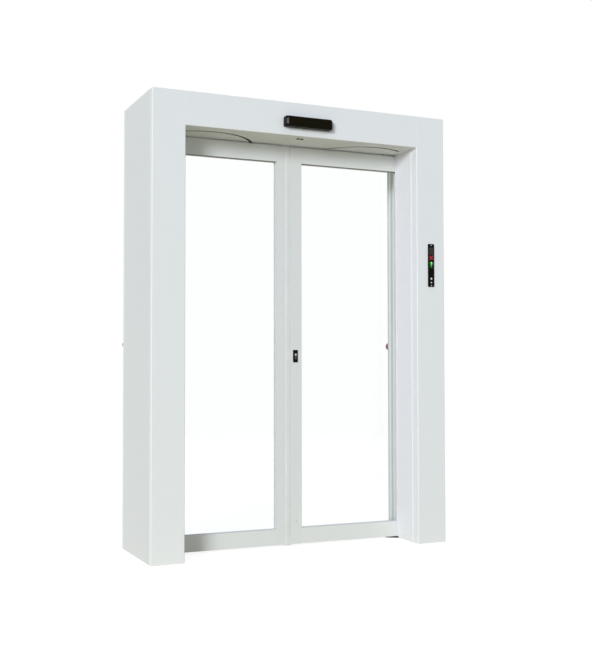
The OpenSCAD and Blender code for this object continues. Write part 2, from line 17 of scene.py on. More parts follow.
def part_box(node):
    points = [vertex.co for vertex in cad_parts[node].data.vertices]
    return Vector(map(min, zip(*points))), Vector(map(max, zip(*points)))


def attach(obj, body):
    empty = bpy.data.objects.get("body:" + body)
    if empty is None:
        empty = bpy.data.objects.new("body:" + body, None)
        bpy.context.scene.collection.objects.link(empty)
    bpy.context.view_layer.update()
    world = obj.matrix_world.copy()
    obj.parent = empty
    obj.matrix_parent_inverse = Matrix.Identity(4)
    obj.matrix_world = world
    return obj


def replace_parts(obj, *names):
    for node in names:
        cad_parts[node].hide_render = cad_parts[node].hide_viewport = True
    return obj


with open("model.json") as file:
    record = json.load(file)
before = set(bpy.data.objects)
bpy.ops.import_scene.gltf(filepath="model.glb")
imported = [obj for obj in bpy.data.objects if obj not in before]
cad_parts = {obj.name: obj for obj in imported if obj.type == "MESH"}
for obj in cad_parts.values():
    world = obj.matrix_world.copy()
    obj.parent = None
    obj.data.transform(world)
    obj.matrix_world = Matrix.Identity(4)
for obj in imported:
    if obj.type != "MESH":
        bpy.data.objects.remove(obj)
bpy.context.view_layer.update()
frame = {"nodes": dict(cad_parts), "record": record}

MM = 0.001                              # sizes below are in millimetres times this

# %% [markdown]
# ## Camera
# The portal is seen through a rather long lens at the height of a person's waist, a few steps
# to its left and turned towards it. A shifted lens could keep the upright edges exactly upright.
# A tilt of only two degrees comes close to that, and is simpler to read and to change.

# %% Camera
CAMERA_PLACE = (-2.197, -5.036, 0.954)
CAMERA_TURN = (92.0, 0.07, -24.10)      # tilt, roll and heading in degrees
CAMERA_SIGHT = 200                      # metres that the camera sees
LENS = 56.1                             # millimetres, over a sensor that is this wide:
LENS_SENSOR = 36


def add_object(name, data):
    """A new object in the scene that shows a mesh, a lamp or a camera."""
    thing = bpy.data.objects.new(name, data)
    bpy.context.scene.collection.objects.link(thing)
    return thing


def make_camera():
    data = bpy.data.cameras.new("studio_camera")
    data.lens = LENS
    data.sensor_width = LENS_SENSOR
    data.clip_end = CAMERA_SIGHT
    camera = add_object("studio_camera", data)
    camera.location = CAMERA_PLACE
    camera.rotation_euler = [math.radians(a) for a in CAMERA_TURN]
    bpy.context.scene.camera = camera


make_camera()
print("camera at", CAMERA_PLACE, "lens", LENS)

# %% [markdown]
# ## Tools for node trees
# A finish is a tree of small nodes. It could be wired by hand in the shader editor, but in code
# it can be read, repeated and changed in one place. These helpers make a group, a node, a sum,
# and the coordinates that all patterns are drawn in. Those are object coordinates, because they
# travel with a leaf when it turns, so that no pattern slides over its piece.


# %% Tools for node trees
def new_group(name, inputs, outputs):
    """A shader node group with float inputs (name, value) and float outputs."""
    group = bpy.data.node_groups.new(name, "ShaderNodeTree")
    for label, value in inputs:
        socket = group.interface.new_socket(label, in_out="INPUT", socket_type="NodeSocketFloat")
        socket.default_value = value
    for label in outputs:
        group.interface.new_socket(label, in_out="OUTPUT", socket_type="NodeSocketFloat")
    return group, group.nodes.new("NodeGroupInput"), group.nodes.new("NodeGroupOutput")


def add_node(tree, kind, values=None, links=None, **settings):
    """A node with its settings, socket values and incoming links."""
    node = tree.nodes.new(kind)
    for key, value in settings.items():
        setattr(node, key, value)
    for key, value in (values or {}).items():
        node.inputs[key].default_value = value
    for key, source in (links or {}).items():
        tree.links.new(source, node.inputs[key])
    return node


def math_node(tree, operation, a, b):
    """A maths node; each side is a number or another node's socket."""
    node = tree.nodes.new("ShaderNodeMath")
    node.operation = operation
    for index, side in enumerate((a, b)):
        if isinstance(side, (int, float)):
            node.inputs[index].default_value = side
        else:
            tree.links.new(side, node.inputs[index])
    return node.outputs[0]


def object_coordinates(tree, scale=(1, 1, 1)):
    """Object coordinates, stretched along each axis."""
    place = tree.nodes.new("ShaderNodeTexCoord").outputs["Object"]
    stretch = add_node(tree, "ShaderNodeMapping", {"Scale": scale}, {"Vector": place})
    return stretch.outputs[0]


print("node tools ready")

# %% [markdown]
# ## Coat grain
# Powder melts into a skin with a faint orange peel, and its tone drifts a little over a wide
# sheet. Both could be painted by hand. Two noises do the same at any size, a fine one for the
# peel and a slow one for the drift. Rubber and plastic have such a grain too, only finer, so it
# is a group with both sizes as inputs.

# %% Coat grain
PEEL_SIZE = 700.0                       # waves in a metre
DRIFT_SIZE = 1.6


def make_coat_grain():
    group, given, result = new_group(
        "Coat grain", [("Peel size", PEEL_SIZE), ("Drift size", DRIFT_SIZE)], ["Peel", "Drift"])
    place = object_coordinates(group)
    for label, detail, roughness in (("Peel", 2.0, 0.45), ("Drift", 3.0, 0.5)):
        noise = add_node(group, "ShaderNodeTexNoise", {"Detail": detail, "Roughness": roughness},
                         {"Vector": place, "Scale": given.outputs[label + " size"]})
        group.links.new(noise.outputs["Fac"], result.inputs[label])
    return group


COAT_GRAIN = make_coat_grain()
print("made node group", COAT_GRAIN.name)

# %% [markdown]
# ## Drawn lines
# An extrusion keeps fine lines from its die, and a turned part from its tool. They could be cut
# into the mesh, at a cost of millions of faces. A noise that is stretched a hundredfold along
# the drawing direction gives the same lines, and a coarse noise beside it gives patches of wear.

# %% Drawn lines
LINES_ACROSS = 900                      # waves in a metre across the drawing direction
LINES_ALONG = 4                         # and along it
PATCHES = 9.0


def make_drawn_lines(name, stretch):
    group, given, result = new_group(name, [("Fineness", 1.0)], ["Lines", "Patches"])
    lines = add_node(group, "ShaderNodeTexNoise", {"Detail": 3.0, "Roughness": 0.6},
                     {"Vector": object_coordinates(group, stretch),
                      "Scale": given.outputs["Fineness"]})
    patches = add_node(group, "ShaderNodeTexNoise", {"Scale": PATCHES, "Detail": 2.0},
                       {"Vector": object_coordinates(group)})
    group.links.new(lines.outputs["Fac"], result.inputs["Lines"])
    group.links.new(patches.outputs["Fac"], result.inputs["Patches"])
    return group


UPRIGHT_LINES = make_drawn_lines("Drawn lines, upright", (LINES_ACROSS, LINES_ACROSS, LINES_ALONG))
LEVEL_LINES = make_drawn_lines("Drawn lines, level", (LINES_ALONG, LINES_ACROSS, LINES_ACROSS))
print("made node groups", UPRIGHT_LINES.name, "and", LEVEL_LINES.name)

# %% [markdown]
# ## Zinc spangle
# Galvanised steel shows the flat crystals in which its zinc set, each with a grey of its own. A
# noise would give soft clouds. A Voronoi texture gives cells with crisp borders, as crystals
# have, and a soft noise over it gives the haze of storage.

# %% Zinc spangle
CRYSTAL_SIZE = 90.0                     # crystals in a metre
HAZE = 14.0


def make_zinc_spangle():
    group, given, result = new_group("Zinc spangle", [("Crystal size", CRYSTAL_SIZE)],
                                     ["Crystals", "Haze"])
    place = object_coordinates(group)
    crystals = add_node(group, "ShaderNodeTexVoronoi",
                        links={"Vector": place, "Scale": given.outputs["Crystal size"]})
    haze = add_node(group, "ShaderNodeTexNoise", {"Scale": HAZE, "Detail": 4.0},
                    {"Vector": place})
    grey = add_node(group, "ShaderNodeSeparateColor", links={"Color": crystals.outputs["Color"]})
    group.links.new(grey.outputs[0], result.inputs["Crystals"])
    group.links.new(haze.outputs["Fac"], result.inputs["Haze"])
    return group


ZINC_SPANGLE = make_zinc_spangle()
print("made node group", ZINC_SPANGLE.name)

# %% [markdown]
# ## Shader tools
# Every finish is a Principled shader. It could be linked to textures for all its sockets, but
# what is even on the real thing stays a plain value on the shader. Only what changes over the
# surface is linked: a little drift in the colour, a little in the roughness, and a fine bump.


# %% Shader tools
def new_material(name, **values):
    """A material with a Principled shader whose uniform values are given."""
    material = bpy.data.materials.new(name)
    material.use_nodes = True
    shader = material.node_tree.nodes["Principled BSDF"]
    for key, value in values.items():
        shader.inputs[key.replace("_", " ")].default_value = value
    return material, material.node_tree, shader


def place_group(tree, group, **values):
    """A node group in a material, with its own values for the group's inputs."""
    node = tree.nodes.new("ShaderNodeGroup")
    node.node_tree = group
    for key, value in values.items():
        node.inputs[key.replace("_", " ")].default_value = value
    return node


def spread(tree, source, low, high):
    """Maps a 0..1 socket onto low..high."""
    node = add_node(tree, "ShaderNodeMapRange", {"To Min": low, "To Max": high}, {"Value": source})
    return node.outputs[0]


def mixed(tree, factor, first, second):
    """Goes from one colour to another with a 0..1 socket; a colour may be a socket too."""
    node = add_node(tree, "ShaderNodeMix", links={"Factor": factor}, data_type="RGBA")
    for side, colour in (("A", first), ("B", second)):
        if isinstance(colour, tuple):
            node.inputs[side].default_value = (*colour, 1)
        else:
            tree.links.new(colour, node.inputs[side])
    return node.outputs["Result"]


def scaled(colour, factor):
    return tuple(c * factor for c in colour)


def drifting(tree, source, colour, part):
    """A colour that a 0..1 socket makes darker and lighter by a part of itself."""
    return mixed(tree, source, scaled(colour, 1 - part), scaled(colour, 1 + part))


def add_bump(tree, shader, height, depth, strength):
    bump = add_node(tree, "ShaderNodeBump", {"Strength": strength, "Distance": depth},
                    {"Height": height})
    tree.links.new(bump.outputs[0], shader.inputs["Normal"])


def dress(tree, shader, tone, roughness, height, depth, strength):
    """Links what changes over a surface: its tone, its roughness and a bump."""
    tree.links.new(tone, shader.inputs["Base Color"])
    tree.links.new(roughness, shader.inputs["Roughness"])
    add_bump(tree, shader, height, depth, strength)


print("shader tools ready")

# %% [markdown]
# ## Powder-coated sheet
# The posts and the header are folded sheet in a white that leans to grey. One flat colour would
# be quick, but it would look like film. Here the tone drifts by about a hundredth, the gloss
# follows the peel, and a bump of a tenth of a millimetre breaks the highlight. The real sheet is
# one white all round, but the side panels are painted a shade darker, as painted shade, and what
# is folded back into the doorway is painted lighter and cooler, as painted light. A front post
# has both its faces in one sheet, so its material tells them apart by their place.

# %% Powder-coated sheet
SHEET_WHITE = (0.755, 0.765, 0.755)
# painted light: the doorway's faces get a lighter, cooler white than the sheet's
REVEAL_PAINTED_LIGHT_WHITE = (0.811, 0.809, 0.838)
# painted shade: the side panels get a darker part of the sheet's white
SIDE_PAINTED_SHADE = 0.885                      # of the sheet's white
SHEET_ROUGH = 0.42
REVEAL_ROUGH = 0.38
ROUGH_DRIFT = 0.05
TONE_DRIFT = 0.012
SHEET_GLEAM = 0.42                      # how strongly the coat mirrors
SHEET_BUMP = (0.12 * MM, 0.35)          # depth and strength
RETURN_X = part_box("right_reveal")[0].x  # face of the doorway, from the middle
RETURN_FOLD = 3 * MM                    # over which a front post folds into it


def outside_doorway(tree):
    """0 on what is folded back into the doorway, and 1 on the faces of the post."""
    across = add_node(tree, "ShaderNodeSeparateXYZ", links={"Vector": object_coordinates(tree)})
    fold = add_node(tree, "ShaderNodeMapRange",
                    {"From Min": RETURN_X, "From Max": RETURN_X + RETURN_FOLD},
                    {"Value": math_node(tree, "ABSOLUTE", across.outputs["X"], 0)})
    return fold.outputs[0]


def powder_coat(name, colour, roughness, returned_painted_light=None):
    """Powder coat; a second colour, when given, is painted light on what is folded back into the
    doorway.
    """
    material, tree, shader = new_material(name, Specular_IOR_Level=SHEET_GLEAM)
    grain = place_group(tree, COAT_GRAIN)
    tone = drifting(tree, grain.outputs["Drift"], colour, TONE_DRIFT)
    if returned_painted_light:
        inner = drifting(tree, grain.outputs["Drift"], returned_painted_light, TONE_DRIFT)
        tone = mixed(tree, outside_doorway(tree), inner, tone)
    rough = spread(tree, grain.outputs["Peel"], roughness - ROUGH_DRIFT, roughness + ROUGH_DRIFT)
    dress(tree, shader, tone, rough, grain.outputs["Peel"], *SHEET_BUMP)
    return material


sheet_coat = powder_coat("powder_coated_sheet", SHEET_WHITE, SHEET_ROUGH)
# painted light on the front post's return into the doorway
post_coat_painted_light_return = powder_coat("powder_coated_post_painted_light_return", SHEET_WHITE, SHEET_ROUGH, returned_painted_light=REVEAL_PAINTED_LIGHT_WHITE)
# painted shade on the side panels
side_coat_painted_shade = powder_coat("powder_coated_side_painted_shade", scaled(SHEET_WHITE, SIDE_PAINTED_SHADE), SHEET_ROUGH)
# painted light on the reveals
reveal_coat_painted_light = powder_coat("powder_coated_reveal_painted_light", REVEAL_PAINTED_LIGHT_WHITE, REVEAL_ROUGH)
print("made", sheet_coat.name, post_coat_painted_light_return.name, side_coat_painted_shade.name, reveal_coat_painted_light.name)

# %% [markdown]
# ## Coated extrusions
# The leaves' stiles and rails are extruded and then coated, so very faint die lines show through
# the peel. The sheet's finish would do from afar, but up close only lines tell an extrusion from
# a folded sheet. They are added to the peel's height before the bump, at less than half of it,
# and they run along each profile, which is why stiles and rails have a finish each.

# %% Coated extrusions
LEAF_WHITE = (0.692, 0.704, 0.685)
STILE_SHADE = 0.975                     # of the leaf's white
LEAF_ROUGH = (0.33, 0.43)
LEAF_GLEAM = 0.45
LEAF_PEEL = 900.0                       # waves in a metre
LEAF_DRIFT = 3.0
LEAF_TONE_DRIFT = 0.015
LEAF_BUMP = (0.1 * MM, 0.3)             # depth and strength
LINES_PART = 0.4                        # height of the die lines, as a part of the peel's


def extrusion_coat(name, colour, lines_group):
    """Powder coat on an extrusion: the coat's peel over very faint die lines."""
    material, tree, shader = new_material(name, Specular_IOR_Level=LEAF_GLEAM)
    grain = place_group(tree, COAT_GRAIN, Peel_size=LEAF_PEEL, Drift_size=LEAF_DRIFT)
    lines = place_group(tree, lines_group)
    tone = drifting(tree, grain.outputs["Drift"], colour, LEAF_TONE_DRIFT)
    height = math_node(tree, "ADD", grain.outputs["Peel"],
                       math_node(tree, "MULTIPLY", lines.outputs["Lines"], LINES_PART))
    rough = spread(tree, lines.outputs["Patches"], *LEAF_ROUGH)
    dress(tree, shader, tone, rough, height, *LEAF_BUMP)
    return material


stile_coat = extrusion_coat("coated_extrusion_upright", scaled(LEAF_WHITE, STILE_SHADE),
                            UPRIGHT_LINES)
rail_coat = extrusion_coat("coated_extrusion_level", LEAF_WHITE, LEVEL_LINES)
print("made", stile_coat.name, rail_coat.name)

# %% [markdown]
# ## Rubber
# Gaskets, closing profiles, seals and strips are extruded rubber, which is matt and has a mottle
# of fillers. It could share the sheet's finish with another colour, but then it would gleam. So
# its grain is finer, its tone varies more, and it mirrors less. Each profile has its own shade,
# as each comes from another roll, and two of them are darker as painted shade: the right closing
# profile for the shade in the gap between the leaves, and the dark rubber of the wedges under
# the top rails, partly for the shade beneath the rails.

# %% Rubber
RUBBER_DRIFT = 0.08                     # of the tone and of the roughness
RUBBER_GLEAM = 0.3
RUBBER_PEEL = 2400.0                    # waves in a metre
RUBBER_MOTTLE = 12.0
RUBBER_BUMP = (0.1 * MM, 0.3)           # depth and strength


def rubber(name, colour, roughness):
    material, tree, shader = new_material(name, Specular_IOR_Level=RUBBER_GLEAM)
    grain = place_group(tree, COAT_GRAIN, Peel_size=RUBBER_PEEL, Drift_size=RUBBER_MOTTLE)
    tone = drifting(tree, grain.outputs["Drift"], colour, RUBBER_DRIFT)
    rough = spread(tree, grain.outputs["Peel"], roughness - RUBBER_DRIFT, roughness + RUBBER_DRIFT)
    dress(tree, shader, tone, rough, grain.outputs["Peel"], *RUBBER_BUMP)
    return material


# painted shade: dark rubber, used only for the wedges under the top rails
shade_dark_rubber = rubber("shade_dark_rubber", (0.20, 0.20, 0.18), 0.6)
clear_rubber = rubber("clear_rubber", (0.66, 0.68, 0.68), 0.5)
pale_rubber = rubber("pale_rubber", (0.70, 0.705, 0.69), 0.55)
strip_rubber = rubber("strip_rubber", (0.52, 0.56, 0.56), 0.5)
# painted shade: darker than the pale rubber, for the shade in the gap between the leaves
closing_rubber_gap_shade = rubber("closing_rubber_gap_shade", (0.60, 0.615, 0.60), 0.5)
seal_rubber = rubber("seal_rubber", (0.67, 0.68, 0.685), 0.5)
print("made six shades of rubber")

# %% [markdown]
# ## Moulded plastic
# The sensors, the signal plate and the push-buttons are moulded, with a smooth skin and a faint
# mottle. A pure black would swallow every form, so the blacks stay just short of it. How
# strongly a piece mirrors is given for each, because that is what tells a smoked window from
# the housing round it.

# %% Moulded plastic
MOTTLE = 0.06                           # of the tone
GLOSS_DRIFT = 0.03
MOULDED_PEEL = 1500.0                   # waves in a metre
MOULDED_MOTTLE = 20.0
MOULDED_BUMP = (0.03 * MM, 0.2)         # depth and strength


def moulded(name, colour, roughness, gleam):
    """Moulded plastic: a smooth skin with a faint mottle; gleam is how strongly it mirrors."""
    material, tree, shader = new_material(name, Specular_IOR_Level=gleam)
    grain = place_group(tree, COAT_GRAIN, Peel_size=MOULDED_PEEL, Drift_size=MOULDED_MOTTLE)
    tone = drifting(tree, grain.outputs["Drift"], colour, MOTTLE)
    rough = spread(tree, grain.outputs["Drift"], roughness - GLOSS_DRIFT, roughness + GLOSS_DRIFT)
    dress(tree, shader, tone, rough, grain.outputs["Peel"], *MOULDED_BUMP)
    return material


black_gloss = moulded("black_gloss_plastic", (0.0015, 0.0015, 0.001), 0.20, gleam=0.06)
smoked_window = moulded("smoked_window", (0.006, 0.005, 0.001), 0.12, gleam=0.04)
black_satin = moulded("black_satin_coat", (0.0035, 0.0035, 0.003), 0.38, gleam=0.06)
red_moulded = moulded("red_moulded_plastic", (0.22, 0.010, 0.010), 0.28, gleam=0.3)
print("made", black_gloss.name, smoked_window.name, black_satin.name, red_moulded.name)

# %% [markdown]
# ## Steel
# The beams, bearings and carriers inside and all the screws are galvanised, while the hangers,
# the lock cylinder and its key plugs are machined. Any metal could be a plain grey with full
# Metallic. It only looks like steel when its gloss changes over the surface, so the zinc takes
# it from its haze and the machined parts from their tool lines.

# %% Steel
ZINC_GREYS = ((0.42, 0.44, 0.46), (0.60, 0.62, 0.64))
ZINC_ROUGH = (0.38, 0.62)
ZINC_BUMP = (0.1 * MM, 0.2)             # depth and strength
MACHINED_TONE = (0.92, 1.05)            # of the colour, from worn to fresh
MACHINED_ROUGH = (0.18, 0.34)
MACHINED_BUMP = (0.05 * MM, 0.3)


def galvanised(name):
    material, tree, shader = new_material(name, Metallic=1.0)
    zinc = place_group(tree, ZINC_SPANGLE)
    tone = mixed(tree, zinc.outputs["Crystals"], *ZINC_GREYS)
    rough = spread(tree, zinc.outputs["Haze"], *ZINC_ROUGH)
    dress(tree, shader, tone, rough, zinc.outputs["Crystals"], *ZINC_BUMP)
    return material


def machined(name, colour):
    material, tree, shader = new_material(name, Metallic=1.0)
    lines = place_group(tree, LEVEL_LINES)
    worn, fresh = (scaled(colour, part) for part in MACHINED_TONE)
    tone = mixed(tree, lines.outputs["Patches"], worn, fresh)
    rough = spread(tree, lines.outputs["Lines"], *MACHINED_ROUGH)
    dress(tree, shader, tone, rough, lines.outputs["Lines"], *MACHINED_BUMP)
    return material


zinc_steel = galvanised("galvanised_steel")
bright_steel = machined("turned_steel", (0.66, 0.66, 0.65))
dark_nickel = machined("dark_nickel", (0.10, 0.10, 0.095))
print("made", zinc_steel.name, bright_steel.name, dark_nickel.name)

# %% [markdown]
# ## Glass
# The panes are clear laminated glass with a breath of green. A see-through plain shader would
# hide their thickness. Full transmission keeps it, and a very long, shallow wave in the surface
# bends reflections a little, as in real panes.

# %% Glass
GLASS_TINT = (0.985, 1.0, 0.992, 1)
GLASS_WAVE = 1.2                        # waves in a metre
GLASS_BUMP = (0.05 * MM, 0.1)           # depth and strength


def make_glass():
    """Clear laminated glass with a breath of green; its skin has the faintest waviness."""
    material, tree, shader = new_material("clear_glass", Base_Color=GLASS_TINT, Roughness=0.0,
                                          IOR=1.45, Transmission_Weight=1.0)
    wave = place_group(tree, COAT_GRAIN, Peel_size=GLASS_WAVE)
    add_bump(tree, shader, wave.outputs["Peel"], *GLASS_BUMP)
    return material


clear_glass = make_glass()
print("made", clear_glass.name)

# %% [markdown]
# ## Signal lenses
# The signal's diodes sit under small coloured lenses. Lamps could be put behind them, but at
# this size the lens itself may glow. It keeps its own colour as well, a little uneven, so that an
# unlit lens still reads as coloured plastic.

# %% Signal lenses
LENS_MOTTLE = 60.0                      # patches in a metre
LENS_SHADE = 0.85                       # of the colour, where the lens is darkest


def lens(name, colour, glow):
    """A small lens, lit from behind when glow is not zero, a little unevenly."""
    material, tree, shader = new_material(name, Roughness=0.25, Specular_IOR_Level=0.3,
                                          Emission_Strength=glow)
    grain = place_group(tree, COAT_GRAIN, Drift_size=LENS_MOTTLE)
    tone = mixed(tree, grain.outputs["Drift"], scaled(colour, LENS_SHADE), colour)
    tree.links.new(tone, shader.inputs["Base Color"])
    tree.links.new(tone, shader.inputs["Emission Color"])
    return material


red_lit = lens("red_dots_lit", (0.85, 0.045, 0.05), 0.8)
red_dark = lens("red_dots_dark", (0.10, 0.006, 0.006), 0.0)
green_bright = lens("green_dots_bright", (0.30, 0.95, 0.24), 1.1)
green_lit = lens("green_dots_lit", (0.03, 0.42, 0.03), 0.6)
# painted light: the unlit green diodes glow faintly, for the glow that spills round the lit arrow
green_spill_glow = lens("green_dots_painted_glow", (0.003, 0.05, 0.004), 0.15)
amber_dark = lens("amber_window_dark", (0.016, 0.016, 0.008), 0.0)
white_lens = lens("white_lens", (0.72, 0.69, 0.61), 0.05)
print("made seven signal lenses")

# %% [markdown]
# ## Finishes for the solids of the frame model
# The sheets, extrusions and hidden steelwork already have their true shape, so each only gets a
# finish. It could be given solid by solid, but the frame model says of every solid what it is
# made of. So a table goes from those material slots to the finishes, and a short one after it
# lists the endings of names that ask for another.

# %% Which finish goes where
FINISH_OF_SLOT = {
    "cladding": sheet_coat,
    "leaf_frame": stile_coat,
    "glass": clear_glass,
    "gasket": clear_rubber,
    "light_rubber": pale_rubber,
    "inner_steel": zinc_steel,
    "bright_steel": bright_steel,
    "black_steel": black_satin,
    "black_plastic": black_gloss,
    "red_lens": red_lit,
    "green_lens": green_lit,
    "red_plastic": red_moulded,
}
FINISH_OF_ENDING = {                    # where the end of a name asks for another one
    "_rail": rail_coat,
    # the side panels get painted shade, the reveals and the posts' returns painted light
    "_side_panel": side_coat_painted_shade,
    "_reveal": reveal_coat_painted_light,
    "_front_post": post_coat_painted_light_return,
    # painted shade of the gap between the leaves
    "right_closing_profile": closing_rubber_gap_shade,
}


def finish_of(name, slot):
    for ending, finish in FINISH_OF_ENDING.items():
        if name.endswith(ending):
            return finish
    return FINISH_OF_SLOT[slot]


print("finishes for", len(FINISH_OF_SLOT), "slots and", len(FINISH_OF_ENDING), "endings")

# %% [markdown]
# ## Rounded edges and clear panes
# The extrusions, the lock's plates and the floor guides also get the small rounding that every
# real edge has. It could be cut into their meshes, but those belong to the frame model, so a
# weld and a bevel are added as modifiers. The glass neither shades the floor nor catches bounced
# light, so it darkens nothing that stands behind it.

# %% Finish the solids
EDGE_ROUND = 0.8 * MM
WELD = 0.01 * MM
SHARP_EDGE = 40                         # degrees; flatter edges aren't rounded
ALSO_ROUNDED = ("lock_plates", "floor_guides")


def round_edges(solid):
    weld = solid.modifiers.new("weld", "WELD")
    weld.merge_threshold = WELD
    bevel = solid.modifiers.new("edge_round", "BEVEL")
    bevel.width = EDGE_ROUND
    bevel.segments = 2
    bevel.limit_method = "ANGLE"
    bevel.angle_limit = math.radians(SHARP_EDGE)


for part in frame["record"]["subparts"]:
    part_name, part_slot = part["node"], part["material_slot"]
    solid = frame["nodes"][part_name]
    solid.data.materials.clear()
    solid.data.materials.append(finish_of(part_name, part_slot))
    if part_slot == "leaf_frame" or part_name in ALSO_ROUNDED:
        round_edges(solid)
    if part_slot == "glass":
        solid.visible_shadow = False
        solid.visible_diffuse = False

# %% [markdown]
# ## Lofts
# The small fittings sit on the portal's faces. They could be put together from ready-made cubes
# and cylinders, but those leave hard corners, and faces inside one another. Here each one is a
# loft: rows of points with faces skinned between them, which gives one closed skin with its own
# roundings. It is drawn flat, facing the reader, and then turned onto the face that it sits on.

# %% Lofts and seats
FACING = {                              # columns: right, up and outwards on each face
    "front": Matrix(((1, 0, 0), (0, 0, -1), (0, 1, 0))),
    "rear": Matrix(((-1, 0, 0), (0, 0, 1), (0, 1, 0))),
    "down": Matrix(((1, 0, 0), (0, -1, 0), (0, 0, -1))),
    "up": Matrix.Identity(3),
}


def loft(form, rows):
    """Closed skin over rows of points, each with as many points as the next."""
    rings = [[form.verts.new(point) for point in row] for row in rows]
    form.faces.new(list(reversed(rings[0])))
    form.faces.new(rings[-1])
    for lower, upper in zip(rings, rings[1:]):
        for i in range(len(lower)):
            j = (i + 1) % len(lower)
            form.faces.new((lower[i], lower[j], upper[j], upper[i]))


def seat_of(node, facing):
    """Width, height and depth of a fitting's box as drawn flat, and the middle of its back."""
    low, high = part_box(node)
    w, deep, tall = (high[i] - low[i] for i in range(3))
    x, y, z = ((high[i] + low[i]) / 2 for i in range(3))
    if facing == "down":
        return w, deep, tall, (x, y, high.z)
    return w, tall, deep, (x, high.y if facing == "front" else low.y, z)


def seat(form, facing, at):
    """Turns what was drawn flat onto a face, with its origin at a point."""
    turn = Matrix.Translation(at) @ FACING[facing].to_4x4()
    bmesh.ops.transform(form, matrix=turn, verts=form.verts)


print("faces to sit on:", list(FACING))

# %% [markdown]
# ## From a form to a piece
# A finished form becomes an object that rides on its body, so that it turns with its leaf. It
# could be shaded flat or smooth all over. Instead only edges sharper than a given angle stay
# crisp, so that roundings look round and rims stay rims.


# %% Pieces
def make_piece(name, form, material, body, sharp=35):
    """Turns a bmesh into an object that rides on a body; edges over sharp degrees stay crisp."""
    bmesh.ops.recalc_face_normals(form, faces=form.faces)
    mesh = bpy.data.meshes.new(name)
    form.to_mesh(mesh)
    form.free()
    mesh.materials.append(material)
    mesh.polygons.foreach_set("use_smooth", [True] * len(mesh.polygons))
    mesh.set_sharp_from_angle(angle=math.radians(sharp))
    piece = add_object(name, mesh)
    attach(piece, body)
    return piece


print("piece tool ready")

# %% [markdown]
# ## Motion sensors
# A motion sensor is a black moulded bar with all its edges rounded, and a smoked window that
# lets infrared light through. A bevelled box would come close, but its ends would be too plain.
# So the bar is lofted along its length: every section is the same rounded block, and near the
# ends it loses depth along a slanted facet, and a little height. That facet catches the lamp.

# %% Housing of a sensor
SENSOR_EDGE = 12 * MM                   # rounding of the front edges
SENSOR_ENDS = (                         # from the end, depth lost, height lost, in millimetres
    (0, 10.5, 5), (0.4, 8.9, 3.4), (1.2, 7.8, 2), (2.2, 7.1, 1.2), (6, 4.7, 0.2),
    (11.4, 1.3, 0), (12.6, 0.6, 0), (14, 0.15, 0), (16, 0, 0))


def bar_section(half_h, depth, steps=7):
    """(height, outwards) points round the section, from the upper rear to the lower rear."""
    r = SENSOR_EDGE
    points = [(half_h, 0)]
    for sign in (1, -1):
        for k in range(steps + 1):
            angle = math.radians(90 * k / steps if sign > 0 else 90 - 90 * k / steps)
            points.append((sign * (half_h - r + r * math.cos(angle)),
                           depth - r + r * math.sin(angle)))
    points.append((-half_h, 0))
    return points


def sensor_housing(half_w, half_h, depth):
    """Loft along the bar, from its right end to its left end."""
    places = [(half_w - along * MM, shallow * MM, lower * MM)
              for along, shallow, lower in SENSOR_ENDS]
    places += [(-x, shallow, lower) for x, shallow, lower in reversed(places)]
    form = bmesh.new()
    loft(form, [[(x, height, out) for height, out in bar_section(half_h - lower, depth - shallow)]
                for x, shallow, lower in places])
    return form


print("housing with", len(SENSOR_ENDS), "sections at each end")

# %% [markdown]
# ## Sensor windows
# The window follows the front of the bar and wraps under it. It could be a darker patch in the
# housing's material, but a real one is a part of its own with a visible edge. So it is a bent
# strip, a third of a millimetre proud of the housing, pulled straight along the bar.

# %% Window of a sensor
WINDOW_END = 17 * MM                    # from the end of the bar
WINDOW_TOP = 8 * MM                     # from the top of the bar
WINDOW_FOOT = 1 * MM                    # it stops this short of where the lower rounding ends
WINDOW_PROUD = 0.35 * MM
WINDOW_SKIN = 1.2 * MM
DIAGONAL = 0.7                          # of the skin, inwards and upwards at the lower rounding
SENSOR_SHARP = 50                       # degrees; the many facets of the ends stay smooth


def sensor_window(half_w, half_h, depth):
    """Strip along the front and under the bar, with a skin of its own."""
    around = bar_section(half_h + WINDOW_PROUD, depth + WINDOW_PROUD)
    outer = [(half_h - WINDOW_TOP, depth + WINDOW_PROUD)]
    outer += [(height, out) for height, out in around
              if height < 0 and out > depth - SENSOR_EDGE + WINDOW_FOOT]
    inner = [(height, out - WINDOW_SKIN) if height > SENSOR_EDGE - half_h
             else (height + WINDOW_SKIN * DIAGONAL, out - WINDOW_SKIN * DIAGONAL)
             for height, out in outer]
    reach = half_w - WINDOW_END
    form = bmesh.new()
    loft(form, [[(x, height, out) for height, out in outer + inner[::-1]]
                for x in (reach, -reach)])
    return form


def make_sensor(node, facing):
    w, h, depth, at = seat_of(node, facing)
    size = w / 2, h / 2, depth - WINDOW_PROUD
    housing, window = sensor_housing(*size), sensor_window(*size)
    seat(housing, facing, at)
    seat(window, facing, at)
    piece = make_piece(node + "_housing", housing, black_gloss, "frame",
                       SENSOR_SHARP)
    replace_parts(piece, node)
    make_piece(node + "_window", window, smoked_window, "frame", SENSOR_SHARP)


make_sensor("front_sensor", "front")
make_sensor("rear_sensor", "rear")
print("made two motion sensors")

# %% [markdown]
# ## Turned parts
# Bezels, domes, diodes, screws and buttons are all round. A lathe tool or a Screw modifier could
# make them. Here a stack of circles does, because the same stack takes any other outline too,
# such as the hexagon of a screw's socket.


# %% Stacks of outlines
def circle_outline(r, segments, sides=0):
    """Points round a circle, or round a polygon of that many sides drawn with as many points."""
    points = []
    for k in range(segments):
        angle = 2 * math.pi * k / segments
        reach = r
        if sides:
            part = 2 * math.pi / sides
            reach = r * math.cos(part / 2) / math.cos(angle % part - part / 2)
        points.append((reach * math.cos(angle), reach * math.sin(angle)))
    return points


